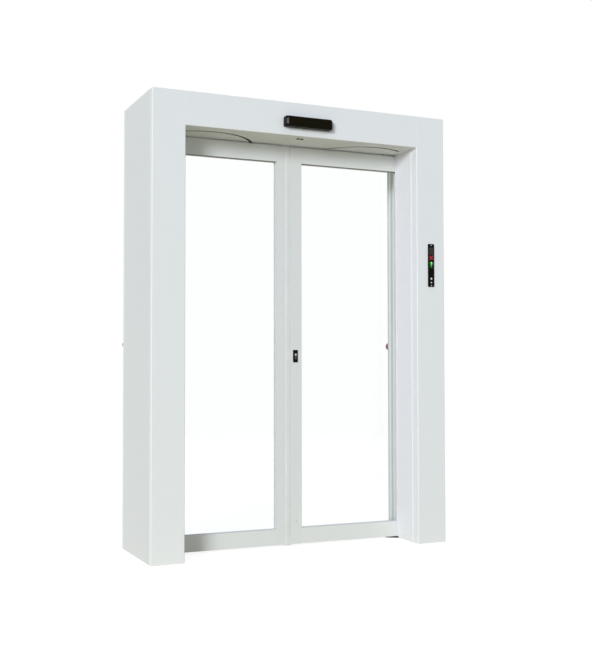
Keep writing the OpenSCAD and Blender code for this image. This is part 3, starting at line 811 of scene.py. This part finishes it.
def stack_up(form, stack, at=(0, 0)):
    """Closed skin over a stack of (height, outline) pairs, drawn round a point."""
    loft(form, [[(at[0] + x, at[1] + y, height) for x, y in outline]
                for height, outline in stack])


def turned(profile, segments=32):
    """Stack of a turned part, from (radius, height) pairs."""
    return [(height, circle_outline(r, segments)) for r, height in profile]


print("turning tools ready")

# %% [markdown]
# ## Presence lenses
# Two small lenses look down from the header. Each could be one dark button, but a real one is
# two parts with two glosses. So each is a satin bezel ring with a glossy dome set into it, both
# turned from a short profile.

# %% Presence lenses
BEZEL_RISE = 2.0 * MM
BEZEL_EDGE = 0.4 * MM
BEZEL_SHOULDER = 1.2 * MM               # height at which that edge starts
BEZEL_SEAT = 1.0 * MM                   # height at which the dome starts inside the bezel
BEZEL_LIP = 0.2 * MM                    # that the bezel narrows by down to the seat
LENS_INSET = 1.6 * MM
DOME_FIT = 0.3 * MM
DOME_PART = 0.94                        # of the bezel's opening that the dome fills


def make_presence_lenses():
    w, h, rise, at = seat_of("presence_sensor", "down")
    r = h / 2
    inner = r - LENS_INSET
    bezel = [(r, 0), (r, BEZEL_SHOULDER), (r - BEZEL_EDGE, BEZEL_RISE), (inner, BEZEL_RISE),
             (inner - BEZEL_LIP, BEZEL_SEAT)]
    dome = [(inner - DOME_FIT, BEZEL_SEAT)]
    for degrees in range(0, 81, 20):
        angle = math.radians(degrees)
        dome.append((inner * DOME_PART * math.cos(angle),
                     BEZEL_RISE + (rise - BEZEL_RISE) * math.sin(angle)))
    bezels, domes = bmesh.new(), bmesh.new()
    for side in (-1, 1):
        stack_up(bezels, turned(bezel), (side * (w / 2 - r), 0))
        stack_up(domes, turned(dome), (side * (w / 2 - r), 0))
    seat(bezels, "down", at)
    seat(domes, "down", at)
    piece = make_piece("presence_bezels", bezels, black_satin, "frame")
    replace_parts(piece, "presence_sensor")
    make_piece("presence_domes", domes, black_gloss, "frame")


make_presence_lenses()
print("made the presence lenses")

# %% [markdown]
# ## Windows of the signal plate
# The black plate carries two windows, which are full of small diodes. A window could be a plain
# box, but its edge has to catch a thin line of light. So it is a stack of rectangles with
# rounded corners, each a little smaller than the last where the front edge is rounded.

# %% Rounded plates
LEAST_CORNER = 0.2 * MM


def rounded_outline(w, h, corner, steps=5):
    """Points round a rectangle with rounded corners, anticlockwise."""
    points = []
    for turn, (sx, sy) in enumerate(((1, 1), (-1, 1), (-1, -1), (1, -1))):
        for k in range(steps + 1):
            angle = math.radians(90 * (turn + k / steps))
            points.append((sx * (w / 2 - corner) + corner * math.cos(angle),
                           sy * (h / 2 - corner) + corner * math.sin(angle)))
    return points


def plate_stack(w, h, thickness, corner, edge, steps=4):
    """Stack of a plate whose front edge is rounded by edge."""
    stack = [(0, rounded_outline(w, h, corner))]
    for k in range(steps + 1):
        angle = math.radians(90 * k / steps)
        inset = edge * (1 - math.cos(angle))
        outline = rounded_outline(w - 2 * inset, h - 2 * inset, max(corner - inset, LEAST_CORNER))
        stack.append((thickness - edge + edge * math.sin(angle), outline))
    return stack


print("plate tools ready")

# %% [markdown]
# ## Signs
# A cross stops people and an arrow lets them go. A printed picture would need an image file.
# Here rows of letters say which diodes are lit, so that the sign can be read in the code, and
# each letter gets its own finish.

# %% Signs
RED_CROSS = ("o.....o", ".o...o.", "..o.o..", "...o...", "..o.o..", ".o...o.", "o.....o")
GREEN_ARROW = ("...O...", "..OOO..", ".ooOoo.", "o.oOo.o", "..oOo..", "..oOo..", "...o...",
               "...o...", "...o...", "...o...")
DOT_PITCH = 3.4 * MM
DOT_R = 1.45 * MM
DOT_RISE = 0.9 * MM
DOT_DOME = ((1.0, 0.0), (1.0, 0.35), (0.8, 0.75), (0.45, 0.98))     # parts of radius and rise
DOT_SHARP = 80                          # degrees; only the foot of a dome stays crisp
WINDOW_CORNER = 3 * MM
WINDOW_EDGE = 0.4 * MM


def add_dots(form, sign, wanted, base):
    """One dome for every place of the sign that has the wanted letter."""
    rows, columns = len(sign), len(sign[0])
    profile = [(DOT_R * part, base + DOT_RISE * height) for part, height in DOT_DOME]
    stack = turned(profile, segments=12)
    for row, letters in enumerate(sign):
        for column, letter in enumerate(letters):
            if letter == wanted:
                stack_up(form, stack, ((column - (columns - 1) / 2) * DOT_PITCH,
                                       ((rows - 1) / 2 - row) * DOT_PITCH))


def make_sign(node, sign, finishes):
    """Window in place of a lamp node, with diodes in the finish of each letter."""
    w, h, thickness, at = seat_of(node, "front")
    window_t = thickness - DOT_RISE
    window = bmesh.new()
    stack_up(window, plate_stack(w, h, window_t, WINDOW_CORNER, WINDOW_EDGE))
    seat(window, "front", at)
    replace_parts(make_piece(node + "_window", window, black_gloss, "frame"), node)
    for letter, (label, material) in finishes.items():
        dots = bmesh.new()
        add_dots(dots, sign, letter, window_t)
        seat(dots, "front", at)
        make_piece(node + "_" + label, dots, material, "frame", DOT_SHARP)


make_sign("red_lamp", RED_CROSS,
          {"o": ("lit_dots", red_lit), ".": ("dark_dots", red_dark)})
make_sign("green_lamp", GREEN_ARROW,
          {"O": ("bright_dots", green_bright), "o": ("lit_dots", green_lit),
           # the unlit green diodes carry painted glow
           ".": ("dark_dots", green_spill_glow)})
print("made the cross and the arrow")

# %% [markdown]
# ## Screws
# The screws are low button heads with a hexagon socket. A thread would never show, and a dome
# with a bump for the socket would look stuck on. So the stack rises over the dome, and then goes
# down again along the six sides of the socket.

# %% Screws
SCREW_DOME = ((1.0, 0.0), (1.0, 0.25), (0.92, 0.62), (0.75, 0.88), (0.55, 1.0))
SCREW_RISE = 0.22                       # of the head's diameter
SCREW_POINTS = 24
SOCKET_R = 0.22                         # of the head's diameter, to the corners
SOCKET_FLOOR = 0.25                     # of the rise
SOCKET_TAPER = 0.96


def add_screw(form, at, head_d, base=0.0):
    """Low button head with a hexagon socket, standing on the flat drawing at a height."""
    rise, socket = head_d * SCREW_RISE, head_d * SOCKET_R
    profile = [(head_d / 2 * part, base + rise * height) for part, height in SCREW_DOME]
    stack = turned(profile, SCREW_POINTS)
    for height, r in ((rise, socket), (rise * SOCKET_FLOOR, socket * SOCKET_TAPER)):
        stack.append((base + height, circle_outline(r, SCREW_POINTS, sides=6)))
    stack_up(form, stack, at)


print("screw tool ready")

# %% [markdown]
# ## Signal plate
# Above the two signs the plate has an unlit window, below them two small white lenses, and a
# screw holds each end. They could be one mesh with the plate, but each is a part that is made
# and fitted by itself, so each is a piece with a finish of its own.

# %% Signal plate
PLATE_CORNER = 4 * MM
PLATE_EDGE = 1.2 * MM
PLATE_SCREW_D = 6 * MM
PLATE_SCREW_IN = 7 * MM
WHITE_LENSES = ((-72 * MM, 5.5 * MM), (-93 * MM, 3.8 * MM))     # height over the middle, radius
WHITE_DOME = ((1.0, 0), (1.0, 0.5 * MM), (0.9, 1.0 * MM), (0.6, 1.35 * MM), (0.25, 1.5 * MM))
SPARE_W, SPARE_H = 24 * MM, 40 * MM
SPARE_RISE = 77 * MM                    # of the unlit window over the plate's middle
SPARE_EDGE = ((0, 0), (0.4 * MM, 0), (0.7 * MM, 0.8 * MM))      # height, and size lost


def make_signal_plate():
    w, h, thickness, at = seat_of("signal_plate", "front")
    plate, lenses, screws, spare = bmesh.new(), bmesh.new(), bmesh.new(), bmesh.new()
    stack_up(plate, plate_stack(w, h, thickness, PLATE_CORNER, PLATE_EDGE))
    for rise, r in WHITE_LENSES:
        profile = [(r * part, thickness + height) for part, height in WHITE_DOME]
        stack_up(lenses, turned(profile, segments=24), (0, rise))
    for side in (-1, 1):
        add_screw(screws, (0, side * (h / 2 - PLATE_SCREW_IN)), PLATE_SCREW_D, thickness)
    stack_up(spare, [(thickness + height,
                      rounded_outline(SPARE_W - lost, SPARE_H - lost, WINDOW_CORNER))
                     for height, lost in SPARE_EDGE], (0, SPARE_RISE))
    for form in (plate, lenses, screws, spare):
        seat(form, "front", at)
    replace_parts(make_piece("signal_plate_body", plate, black_gloss, "frame"),
                "signal_plate")
    make_piece("signal_white_lenses", lenses, white_lens, "frame")
    make_piece("signal_spare_window", spare, amber_dark, "frame")
    make_piece("signal_plate_screws", screws, zinc_steel, "frame")


make_signal_plate()
print("made the signal plate")

# %% [markdown]
# ## Lock cylinder
# The cylinder is a dark nickel body with the usual outline, a round part over a narrow web. A
# circle and a box could be joined by a boolean, but that leaves the web without its round end.
# So the outline is drawn in one go with two arcs, and then lofted through the leaf.

# %% Lock cylinder
WEB_ROUND = 5.0 * MM
PLUG_PROUD = 0.8 * MM                   # of the key plug, beyond the body on both sides
BODY_EDGE = 0.4 * MM
BODY_TAPER = (0.96, 0.985)              # of the outline at the front edge, across and upwards


def cylinder_outline(r, drop, steps=14):
    """Outline of the cylinder, from its round part down to the end of the web."""
    shoulder = math.degrees(math.asin(WEB_ROUND / r))
    points = []
    for k in range(steps + 1):
        angle = math.radians(shoulder - 90 + (360 - 2 * shoulder) * k / steps)
        points.append((r * math.cos(angle), r * math.sin(angle)))
    for k in range(steps + 1):
        angle = math.radians(180 + 180 * k / steps)
        points.append((WEB_ROUND * math.cos(angle),
                       WEB_ROUND - drop + WEB_ROUND * math.sin(angle)))
    return points


def make_cylinder():
    low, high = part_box("lock_cylinder")
    r = (high.x - low.x) / 2
    body_in, body_out = low.y + PLUG_PROUD, high.y - PLUG_PROUD
    length = body_out - body_in
    outline = cylinder_outline(r, high.z - low.z - r)
    across, upwards = BODY_TAPER
    body = bmesh.new()
    stack_up(body, [(0, outline), (length - BODY_EDGE, outline),
                    (length, [(x * across, y * upwards) for x, y in outline])])
    seat(body, "front", ((low.x + high.x) / 2, body_out, high.z - r))
    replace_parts(make_piece("lock_cylinder_body", body, dark_nickel, "right_leaf"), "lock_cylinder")
    return length


print("made the lock cylinder,", round(make_cylinder() / MM, 1), "mm long")

# %% [markdown]
# ## Key plugs
# A bright plug with a key slot sits in the round part on either side of the leaf. The plug is
# turned. The slot could be skinned by hand, but a slot with square shoulders inside a disc takes
# many odd faces, so a boolean cuts it, and its result is kept as the mesh.

# %% Key plugs
PLUG_R = 5.0 * MM
PLUG_ROOT = 1 * MM                      # of the plug inside the body
PLUG_EDGE = 0.3 * MM
KEY_SLOT = (1.6 * MM, 8.0 * MM, 0.5 * MM)       # width, height and corner
KEY_SLOT_DEPTH = 2.5 * MM


def cut_slot(piece, facing, at):
    """Cuts the key slot into a plug with a boolean, and applies it."""
    cutter_form = bmesh.new()
    outline = rounded_outline(*KEY_SLOT)
    stack_up(cutter_form, [(-KEY_SLOT_DEPTH, outline), (KEY_SLOT_DEPTH, outline)])
    seat(cutter_form, facing, at)
    cutter_mesh = bpy.data.meshes.new("slot_cutter")
    cutter_form.to_mesh(cutter_mesh)
    cutter_form.free()
    cutter = add_object("slot_cutter", cutter_mesh)
    cut = piece.modifiers.new("key_slot", "BOOLEAN")
    cut.operation = "DIFFERENCE"
    cut.solver = "EXACT"
    cut.object = cutter
    bpy.context.view_layer.update()
    view = bpy.context.evaluated_depsgraph_get()
    slotted = bpy.data.meshes.new_from_object(piece.evaluated_get(view))
    piece.modifiers.clear()
    piece.data = slotted
    bpy.data.objects.remove(cutter)


def make_key_plugs():
    low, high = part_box("lock_cylinder")
    x, z = (low.x + high.x) / 2, high.z - (high.x - low.x) / 2
    profile = [(PLUG_R, -PLUG_ROOT), (PLUG_R, PLUG_PROUD - PLUG_EDGE),
               (PLUG_R - PLUG_EDGE, PLUG_PROUD)]
    for facing, body_y, plug_y in (("front", low.y + PLUG_PROUD, low.y),
                                   ("rear", high.y - PLUG_PROUD, high.y)):
        plug = bmesh.new()
        stack_up(plug, turned(profile))
        seat(plug, facing, (x, body_y, z))
        piece = make_piece("key_plug_" + facing, plug, bright_steel, "right_leaf")
        cut_slot(piece, facing, (x, plug_y, z))


make_key_plugs()
print("made two key plugs")

# %% [markdown]
# ## Release buttons
# A red mushroom head stands on a short neck in a dark collar, on the rear face of each rear
# post. A flattened sphere could be the head, but its rim would be too sharp. So the head and the
# collar are turned from a profile each, and the crown of the head is part of an ellipse.

# %% Release buttons
BUTTON_COLLAR_R = 15 * MM
BUTTON_COLLAR_T = 8 * MM
BUTTON_NECK = 4 * MM                    # less than the collar's radius
BUTTON_HEAD_T = 14 * MM
BUTTON_CROWN = 7 * MM                   # height of the ellipse
BUTTON_SOFT = 1 * MM                    # small edges of collar and neck
BUTTON_POINTS = 40
BUTTON_RIM = ((2 * MM, 0), (0.5 * MM, 0.7 * MM), (0, 2.5 * MM))     # inwards, and over the brim


def make_release_buttons():
    w, h, out, at = seat_of("release_buttons", "rear")
    r = h / 2
    neck = BUTTON_COLLAR_R - BUTTON_NECK
    brim, crown = out - BUTTON_HEAD_T, out - BUTTON_CROWN
    collar = [(BUTTON_COLLAR_R, 0), (BUTTON_COLLAR_R, BUTTON_COLLAR_T - BUTTON_SOFT),
              (BUTTON_COLLAR_R - BUTTON_SOFT, BUTTON_COLLAR_T),
              (neck + BUTTON_SOFT, BUTTON_COLLAR_T)]
    head = [(neck, BUTTON_COLLAR_T - BUTTON_SOFT), (neck, brim + BUTTON_SOFT)]
    head += [(r - inwards, brim + over) for inwards, over in BUTTON_RIM]
    for degrees in range(0, 81, 10):
        angle = math.radians(degrees)
        head.append((r * math.cos(angle), crown + BUTTON_CROWN * math.sin(angle)))
    heads, collars = bmesh.new(), bmesh.new()
    for side in (-1, 1):
        stack_up(heads, turned(head, BUTTON_POINTS), (side * (w / 2 - r), 0))
        stack_up(collars, turned(collar, BUTTON_POINTS), (side * (w / 2 - r), 0))
    seat(heads, "rear", at)
    seat(collars, "rear", at)
    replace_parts(make_piece("release_button_heads", heads, red_moulded, "frame"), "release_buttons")
    make_piece("release_button_collars", collars, black_satin, "frame")


make_release_buttons()
print("made the release buttons")

# %% [markdown]
# ## Small fasteners
# A plug screw near the foot of the lock's stile holds the extrusion's corner cleat, and two
# screws hold each floor guide. Each screw could be an object, but nobody moves one by itself. So
# the four screws of the guides are joined into one mesh.

# %% Fasteners
STILE_SCREW_RISE = 120 * MM             # above the leaf's lower edge
STILE_SCREW_D = 7 * MM
GUIDE_SCREW_D = 8 * MM
GUIDE_SCREW_IN = (20 * MM, 54 * MM)     # from the guide's outer end


def stile_screw():
    low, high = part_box("right_meeting_stile")
    form = bmesh.new()
    add_screw(form, (0, 0), STILE_SCREW_D)
    seat(form, "front", ((low.x + high.x) / 2, low.y, low.z + STILE_SCREW_RISE))
    make_piece("right_stile_screw", form, zinc_steel, "right_leaf")


def guide_screws():
    low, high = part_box("floor_guides")
    form = bmesh.new()
    for side in (-1, 1):
        for inset in GUIDE_SCREW_IN:
            add_screw(form, (side * (high.x - inset), (low.y + high.y) / 2), GUIDE_SCREW_D, high.z)
    seat(form, "up", (0, 0, 0))
    make_piece("floor_guide_screws", form, zinc_steel, "frame")


stile_screw()
guide_screws()
print("made the fasteners")

# %% [markdown]
# ## Fin between the leaves
# Where the leaves meet, a thin rubber fin reaches from the left profile across the gap. It could
# be a flat strip, but rubber of that thickness bows a little. Like all the seals here it is a
# short outline pulled along its length, because that is how such profiles are made.

# %% Fin between the leaves
FIN_CLEAR = 0.6 * MM                    # to the other leaf
FIN_ROOT = 1 * MM                       # of the fin inside the left profile
FIN_BACK = 1.0 * MM                     # behind the front face of the leaf
FIN_T = 1.3 * MM
FIN_BOW = 0.4 * MM
FIN_FOOT = 0.6 * MM                     # that the fin is thicker at its root


def pull_up(form, outline, low_z, high_z, side=1):
    """Pulls an outline upwards between two heights; with side -1 it is the left one."""
    stack_up(form, [(z, [(side * x, y) for x, y in outline]) for z in (low_z, high_z)])


def make_fin():
    low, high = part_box("left_closing_profile")
    left, right = high.x - FIN_ROOT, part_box("right_closing_profile")[0].x - FIN_CLEAR
    middle = (left + right) / 2
    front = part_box("left_meeting_stile")[0].y + FIN_BACK
    rear = front + FIN_T
    form = bmesh.new()
    pull_up(form, [(left, front), (middle, front - FIN_BOW), (right, front), (right, rear),
                   (middle, rear - FIN_BOW), (left, rear + FIN_FOOT)], low.z, high.z)
    make_piece("left_closing_fin", form, pale_rubber, "left_leaf")


make_fin()
print("made the fin between the leaves")

# %% [markdown]
# ## Seals behind the front posts
# A soft seal on the rear edge of each front post closes the gap to the leaf behind it. A plain
# strip would hide behind the post's edge. The real one has a round lip that reaches a little
# into the doorway and shows as a fine line, so its outline ends in half a circle.

# %% Seals behind the front posts
SEAL_W = 8 * MM
SEAL_CLEAR = 0.7 * MM                   # to the leaf
SEAL_TUCK = 3 * MM                      # runs behind the fold of the reveal's edge
SEAL_BULB = 8.0 * MM                    # how far the round lip reaches into the doorway
SEAL_FIT = 0.3 * MM                     # between the seal and the sheet
SEAL_TOP = 1 * MM                       # below the top of the reveal
LIP_STEPS = 8


def make_post_seals():
    reveal_low, reveal_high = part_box("right_reveal")
    leaf_low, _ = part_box("right_outer_stile")
    inner, outer = reveal_low.x + SEAL_FIT, reveal_low.x + SEAL_W
    front, rear = reveal_high.y + SEAL_FIT, leaf_low.y - SEAL_CLEAR
    r, middle = (rear - front) / 2, (rear + front) / 2
    outline = [(inner, front), (inner, front - SEAL_TUCK), (outer, front - SEAL_TUCK),
               (outer, rear)]
    for k in range(LIP_STEPS + 1):
        angle = math.radians(90 + 180 * k / LIP_STEPS)
        outline.append((reveal_low.x - SEAL_BULB + r * (1 + math.cos(angle)),
                        middle + r * math.sin(angle)))
    form = bmesh.new()
    for side in (-1, 1):
        pull_up(form, outline, leaf_low.z, reveal_high.z - SEAL_TOP, side)
    make_piece("post_seals", form, seal_rubber, "frame")


make_post_seals()
print("made the seals behind the front posts")

# %% [markdown]
# ## Strips on the rear posts
# Two thin rubber strips run up each rear post's face in the doorway, one at its rear edge and one
# about 40 mm in front of it, and show as two darker bands. They could be bands of colour on the
# post, but a strip has a thickness and an edge that catches light. So each is a flat profile with
# slanted edges, less than a millimetre thick, which leaves the leaf its room.

# %% Strips on the rear posts
STRIP_T = 0.8 * MM
STRIP_PLACES = ((1.5 * MM, 16 * MM), (39 * MM, 23 * MM))    # from the rear face, and width
STRIP_ENDS = 12 * MM                    # from the floor and from the ceiling


def make_edge_strips():
    low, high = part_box("right_rear_post")
    ceiling_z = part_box("ceiling_panel")[0].z
    face = low.x - STRIP_T
    form = bmesh.new()
    for inset, width in STRIP_PLACES:
        near, far = high.y - inset, high.y - inset - width
        outline = [(low.x, near), (face, near - STRIP_T), (face, far + STRIP_T), (low.x, far)]
        for side in (-1, 1):
            pull_up(form, outline, STRIP_ENDS, ceiling_z - STRIP_ENDS, side)
    make_piece("rear_post_strips", form, strip_rubber, "frame")


make_edge_strips()
print("made the strips on the rear posts")

# %% [markdown]
# ## Wedges over the panes
# A dark glazing wedge lies under each top rail, in front of the pane, and shows as a thin dark
# line. Its dark colour is partly painted shade: the wedge is put only under the top rails, where
# the rail's underside lies in shade, and not along the other sides of the pane. The gasket's own
# material could be darkened there, but a wedge is pressed in after the glass and is a part of its
# own. So it is a slim profile pulled along the rail.

# %% Wedges over the panes
WEDGE_T = 1 * MM
WEDGE_BACK = 0.6 * MM                   # behind the front face of the leaf
WEDGE_CLEAR = 0.8 * MM                  # to the gasket and to the stiles


def make_wedge(side):
    low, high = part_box(side + "_top_rail")
    front, rear = low.y + WEDGE_BACK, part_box(side + "_gasket")[0].y - WEDGE_CLEAR
    outline = [(front, low.z), (rear, low.z), (rear, low.z - WEDGE_T),
               (front + WEDGE_BACK, low.z - WEDGE_T)]
    form = bmesh.new()
    loft(form, [[(x, y, z) for y, z in outline]
                for x in (high.x - WEDGE_CLEAR, low.x + WEDGE_CLEAR)])
    # painted shade under the top rail, in the wedge's dark rubber
    make_piece(side + "_top_wedge", form, shade_dark_rubber, side + "_leaf")


make_wedge("left")
make_wedge("right")
print("made the wedges over the panes")

# %% [markdown]
# ## World
# Around the portal lies plain white. As light it would be far too strong and would bleach the
# coat. So rays that look at it, mirror it or pass through glass see it white, while the light
# that bounces comes from a weaker, even and slightly blue sky. Then a colour renders about as it
# is written.

# %% World
SKY_LEVEL = 0.44
SKY_COLOUR = (0.90, 1.0, 1.16)
WHITE = (1, 1, 1)


def seen_directly(tree):
    """1 for rays that look, mirror or pass through glass, and 0 for light that bounces."""
    rays = tree.nodes.new("ShaderNodeLightPath")
    return math_node(tree, "MAXIMUM", rays.outputs["Is Camera Ray"],
                     math_node(tree, "MAXIMUM", rays.outputs["Is Glossy Ray"],
                               rays.outputs["Is Transmission Ray"]))


def make_world():
    world = bpy.data.worlds.new("studio_world")
    world.use_nodes = True
    tree = world.node_tree
    tree.nodes.clear()
    seen = seen_directly(tree)
    sky = add_node(tree, "ShaderNodeBackground",
                   links={"Color": mixed(tree, seen, SKY_COLOUR, WHITE),
                          "Strength": spread(tree, seen, SKY_LEVEL, 1.0)})
    add_node(tree, "ShaderNodeOutputWorld", links={"Surface": sky.outputs[0]})
    bpy.context.scene.world = world


make_world()
print("sky level", SKY_LEVEL)

# %% [markdown]
# ## Floor
# The floor is what lights the header from below. A white disc would lose the soft shadows, and a
# grey one would show its rim. So looking rays see a grey floor that is lifted to white by a glow
# of its own, and it fades out towards its rim. The light that bounces sees a warm stone shade,
# darker on the right.

# %% Floor
FLOOR_REACH = 9.0                       # metres from the portal to where the floor has faded
FLOOR_SIDES = 64
BOUNCE_LEFT = (0.95, 0.85, 0.52)        # warm, as a pale stone floor sends light back up
BOUNCE_RIGHT = (0.62, 0.55, 0.31)       # the right of the studio floor is the darker side
BOUNCE_TURN = 1.5                       # metres to either side over which the shades change
FLOOR_SEEN = (0.31, 0.30, 0.29)
FLOOR_LIFT = 0.85                       # what a looking ray adds, so that the floor reads white
FLOOR_FADE = 2.0                        # it starts to fade halfway out to its rim


def floor_colour(tree, seen):
    """The shade that bounces light, from left to right, or the one that looking rays see."""
    across = add_node(tree, "ShaderNodeSeparateXYZ", links={"Vector": object_coordinates(tree)})
    turn = add_node(tree, "ShaderNodeMapRange", {"From Min": -BOUNCE_TURN, "From Max": BOUNCE_TURN},
                    {"Value": across.outputs["X"]})
    return mixed(tree, seen, mixed(tree, turn.outputs[0], BOUNCE_LEFT, BOUNCE_RIGHT), FLOOR_SEEN)


def floor_cover(tree, seen):
    """1 where the floor is whole and 0 at its rim; light that bounces always meets it."""
    place = object_coordinates(tree, (1 / FLOOR_REACH, 1 / FLOOR_REACH, 1))
    fade = add_node(tree, "ShaderNodeTexGradient", links={"Vector": place},
                    gradient_type="SPHERICAL")
    wide = math_node(tree, "MULTIPLY", fade.outputs["Fac"], FLOOR_FADE)
    cover = math_node(tree, "MINIMUM", wide, 1.0)
    return math_node(tree, "MAXIMUM", cover, math_node(tree, "SUBTRACT", 1.0, seen))


def make_floor():
    material, tree, shader = new_material("pale_floor", Roughness=0.9, Specular_IOR_Level=0.1,
                                          Emission_Color=(*WHITE, 1))
    seen = seen_directly(tree)
    for socket, source in (("Base Color", floor_colour(tree, seen)),
                           ("Emission Strength", spread(tree, seen, 0.0, FLOOR_LIFT)),
                           ("Alpha", floor_cover(tree, seen))):
        tree.links.new(source, shader.inputs[socket])
    mesh = bpy.data.meshes.new("studio_floor")
    form = bmesh.new()
    bmesh.ops.create_circle(form, cap_ends=True, segments=FLOOR_SIDES, radius=FLOOR_REACH)
    form.to_mesh(mesh)
    form.free()
    mesh.materials.append(material)
    floor = add_object("studio_floor", mesh)


make_floor()
print("floor made")

# %% [markdown]
# ## Key lamp
# One broad lamp from the front left gives the portal its form. An area lamp close by would
# light the near post more than the far one. A far lamp lights both alike, and its width softens
# the shadows that the posts throw on the leaves.

# %% Key lamp
KEY_HEADING = 42.0                      # degrees to the left of straight in front
KEY_HEIGHT = 10.0                       # degrees above level
KEY_SPREAD = 18.0                       # how wide the lamp looks, which softens its shadows
KEY_POWER = 2.28
KEY_COLOUR = (0.985, 1.02, 1.08)


def make_key():
    data = bpy.data.lights.new("key_lamp", "SUN")
    data.energy = KEY_POWER
    data.color = KEY_COLOUR
    data.angle = math.radians(KEY_SPREAD)
    heading, height = math.radians(KEY_HEADING), math.radians(KEY_HEIGHT)
    towards = Vector((math.sin(heading) * math.cos(height), math.cos(heading) * math.cos(height),
                      -math.sin(height)))
    lamp = add_object("key_lamp", data)
    lamp.rotation_euler = towards.to_track_quat("-Z", "Y").to_euler()


make_key()
print("key lamp made")

# %% [markdown]
# ## Finish
# The last cell sets the colour view to Standard and brings the scene up to date.

# %% Finish
bpy.context.scene.view_settings.view_transform = "Standard"
bpy.context.view_layer.update()
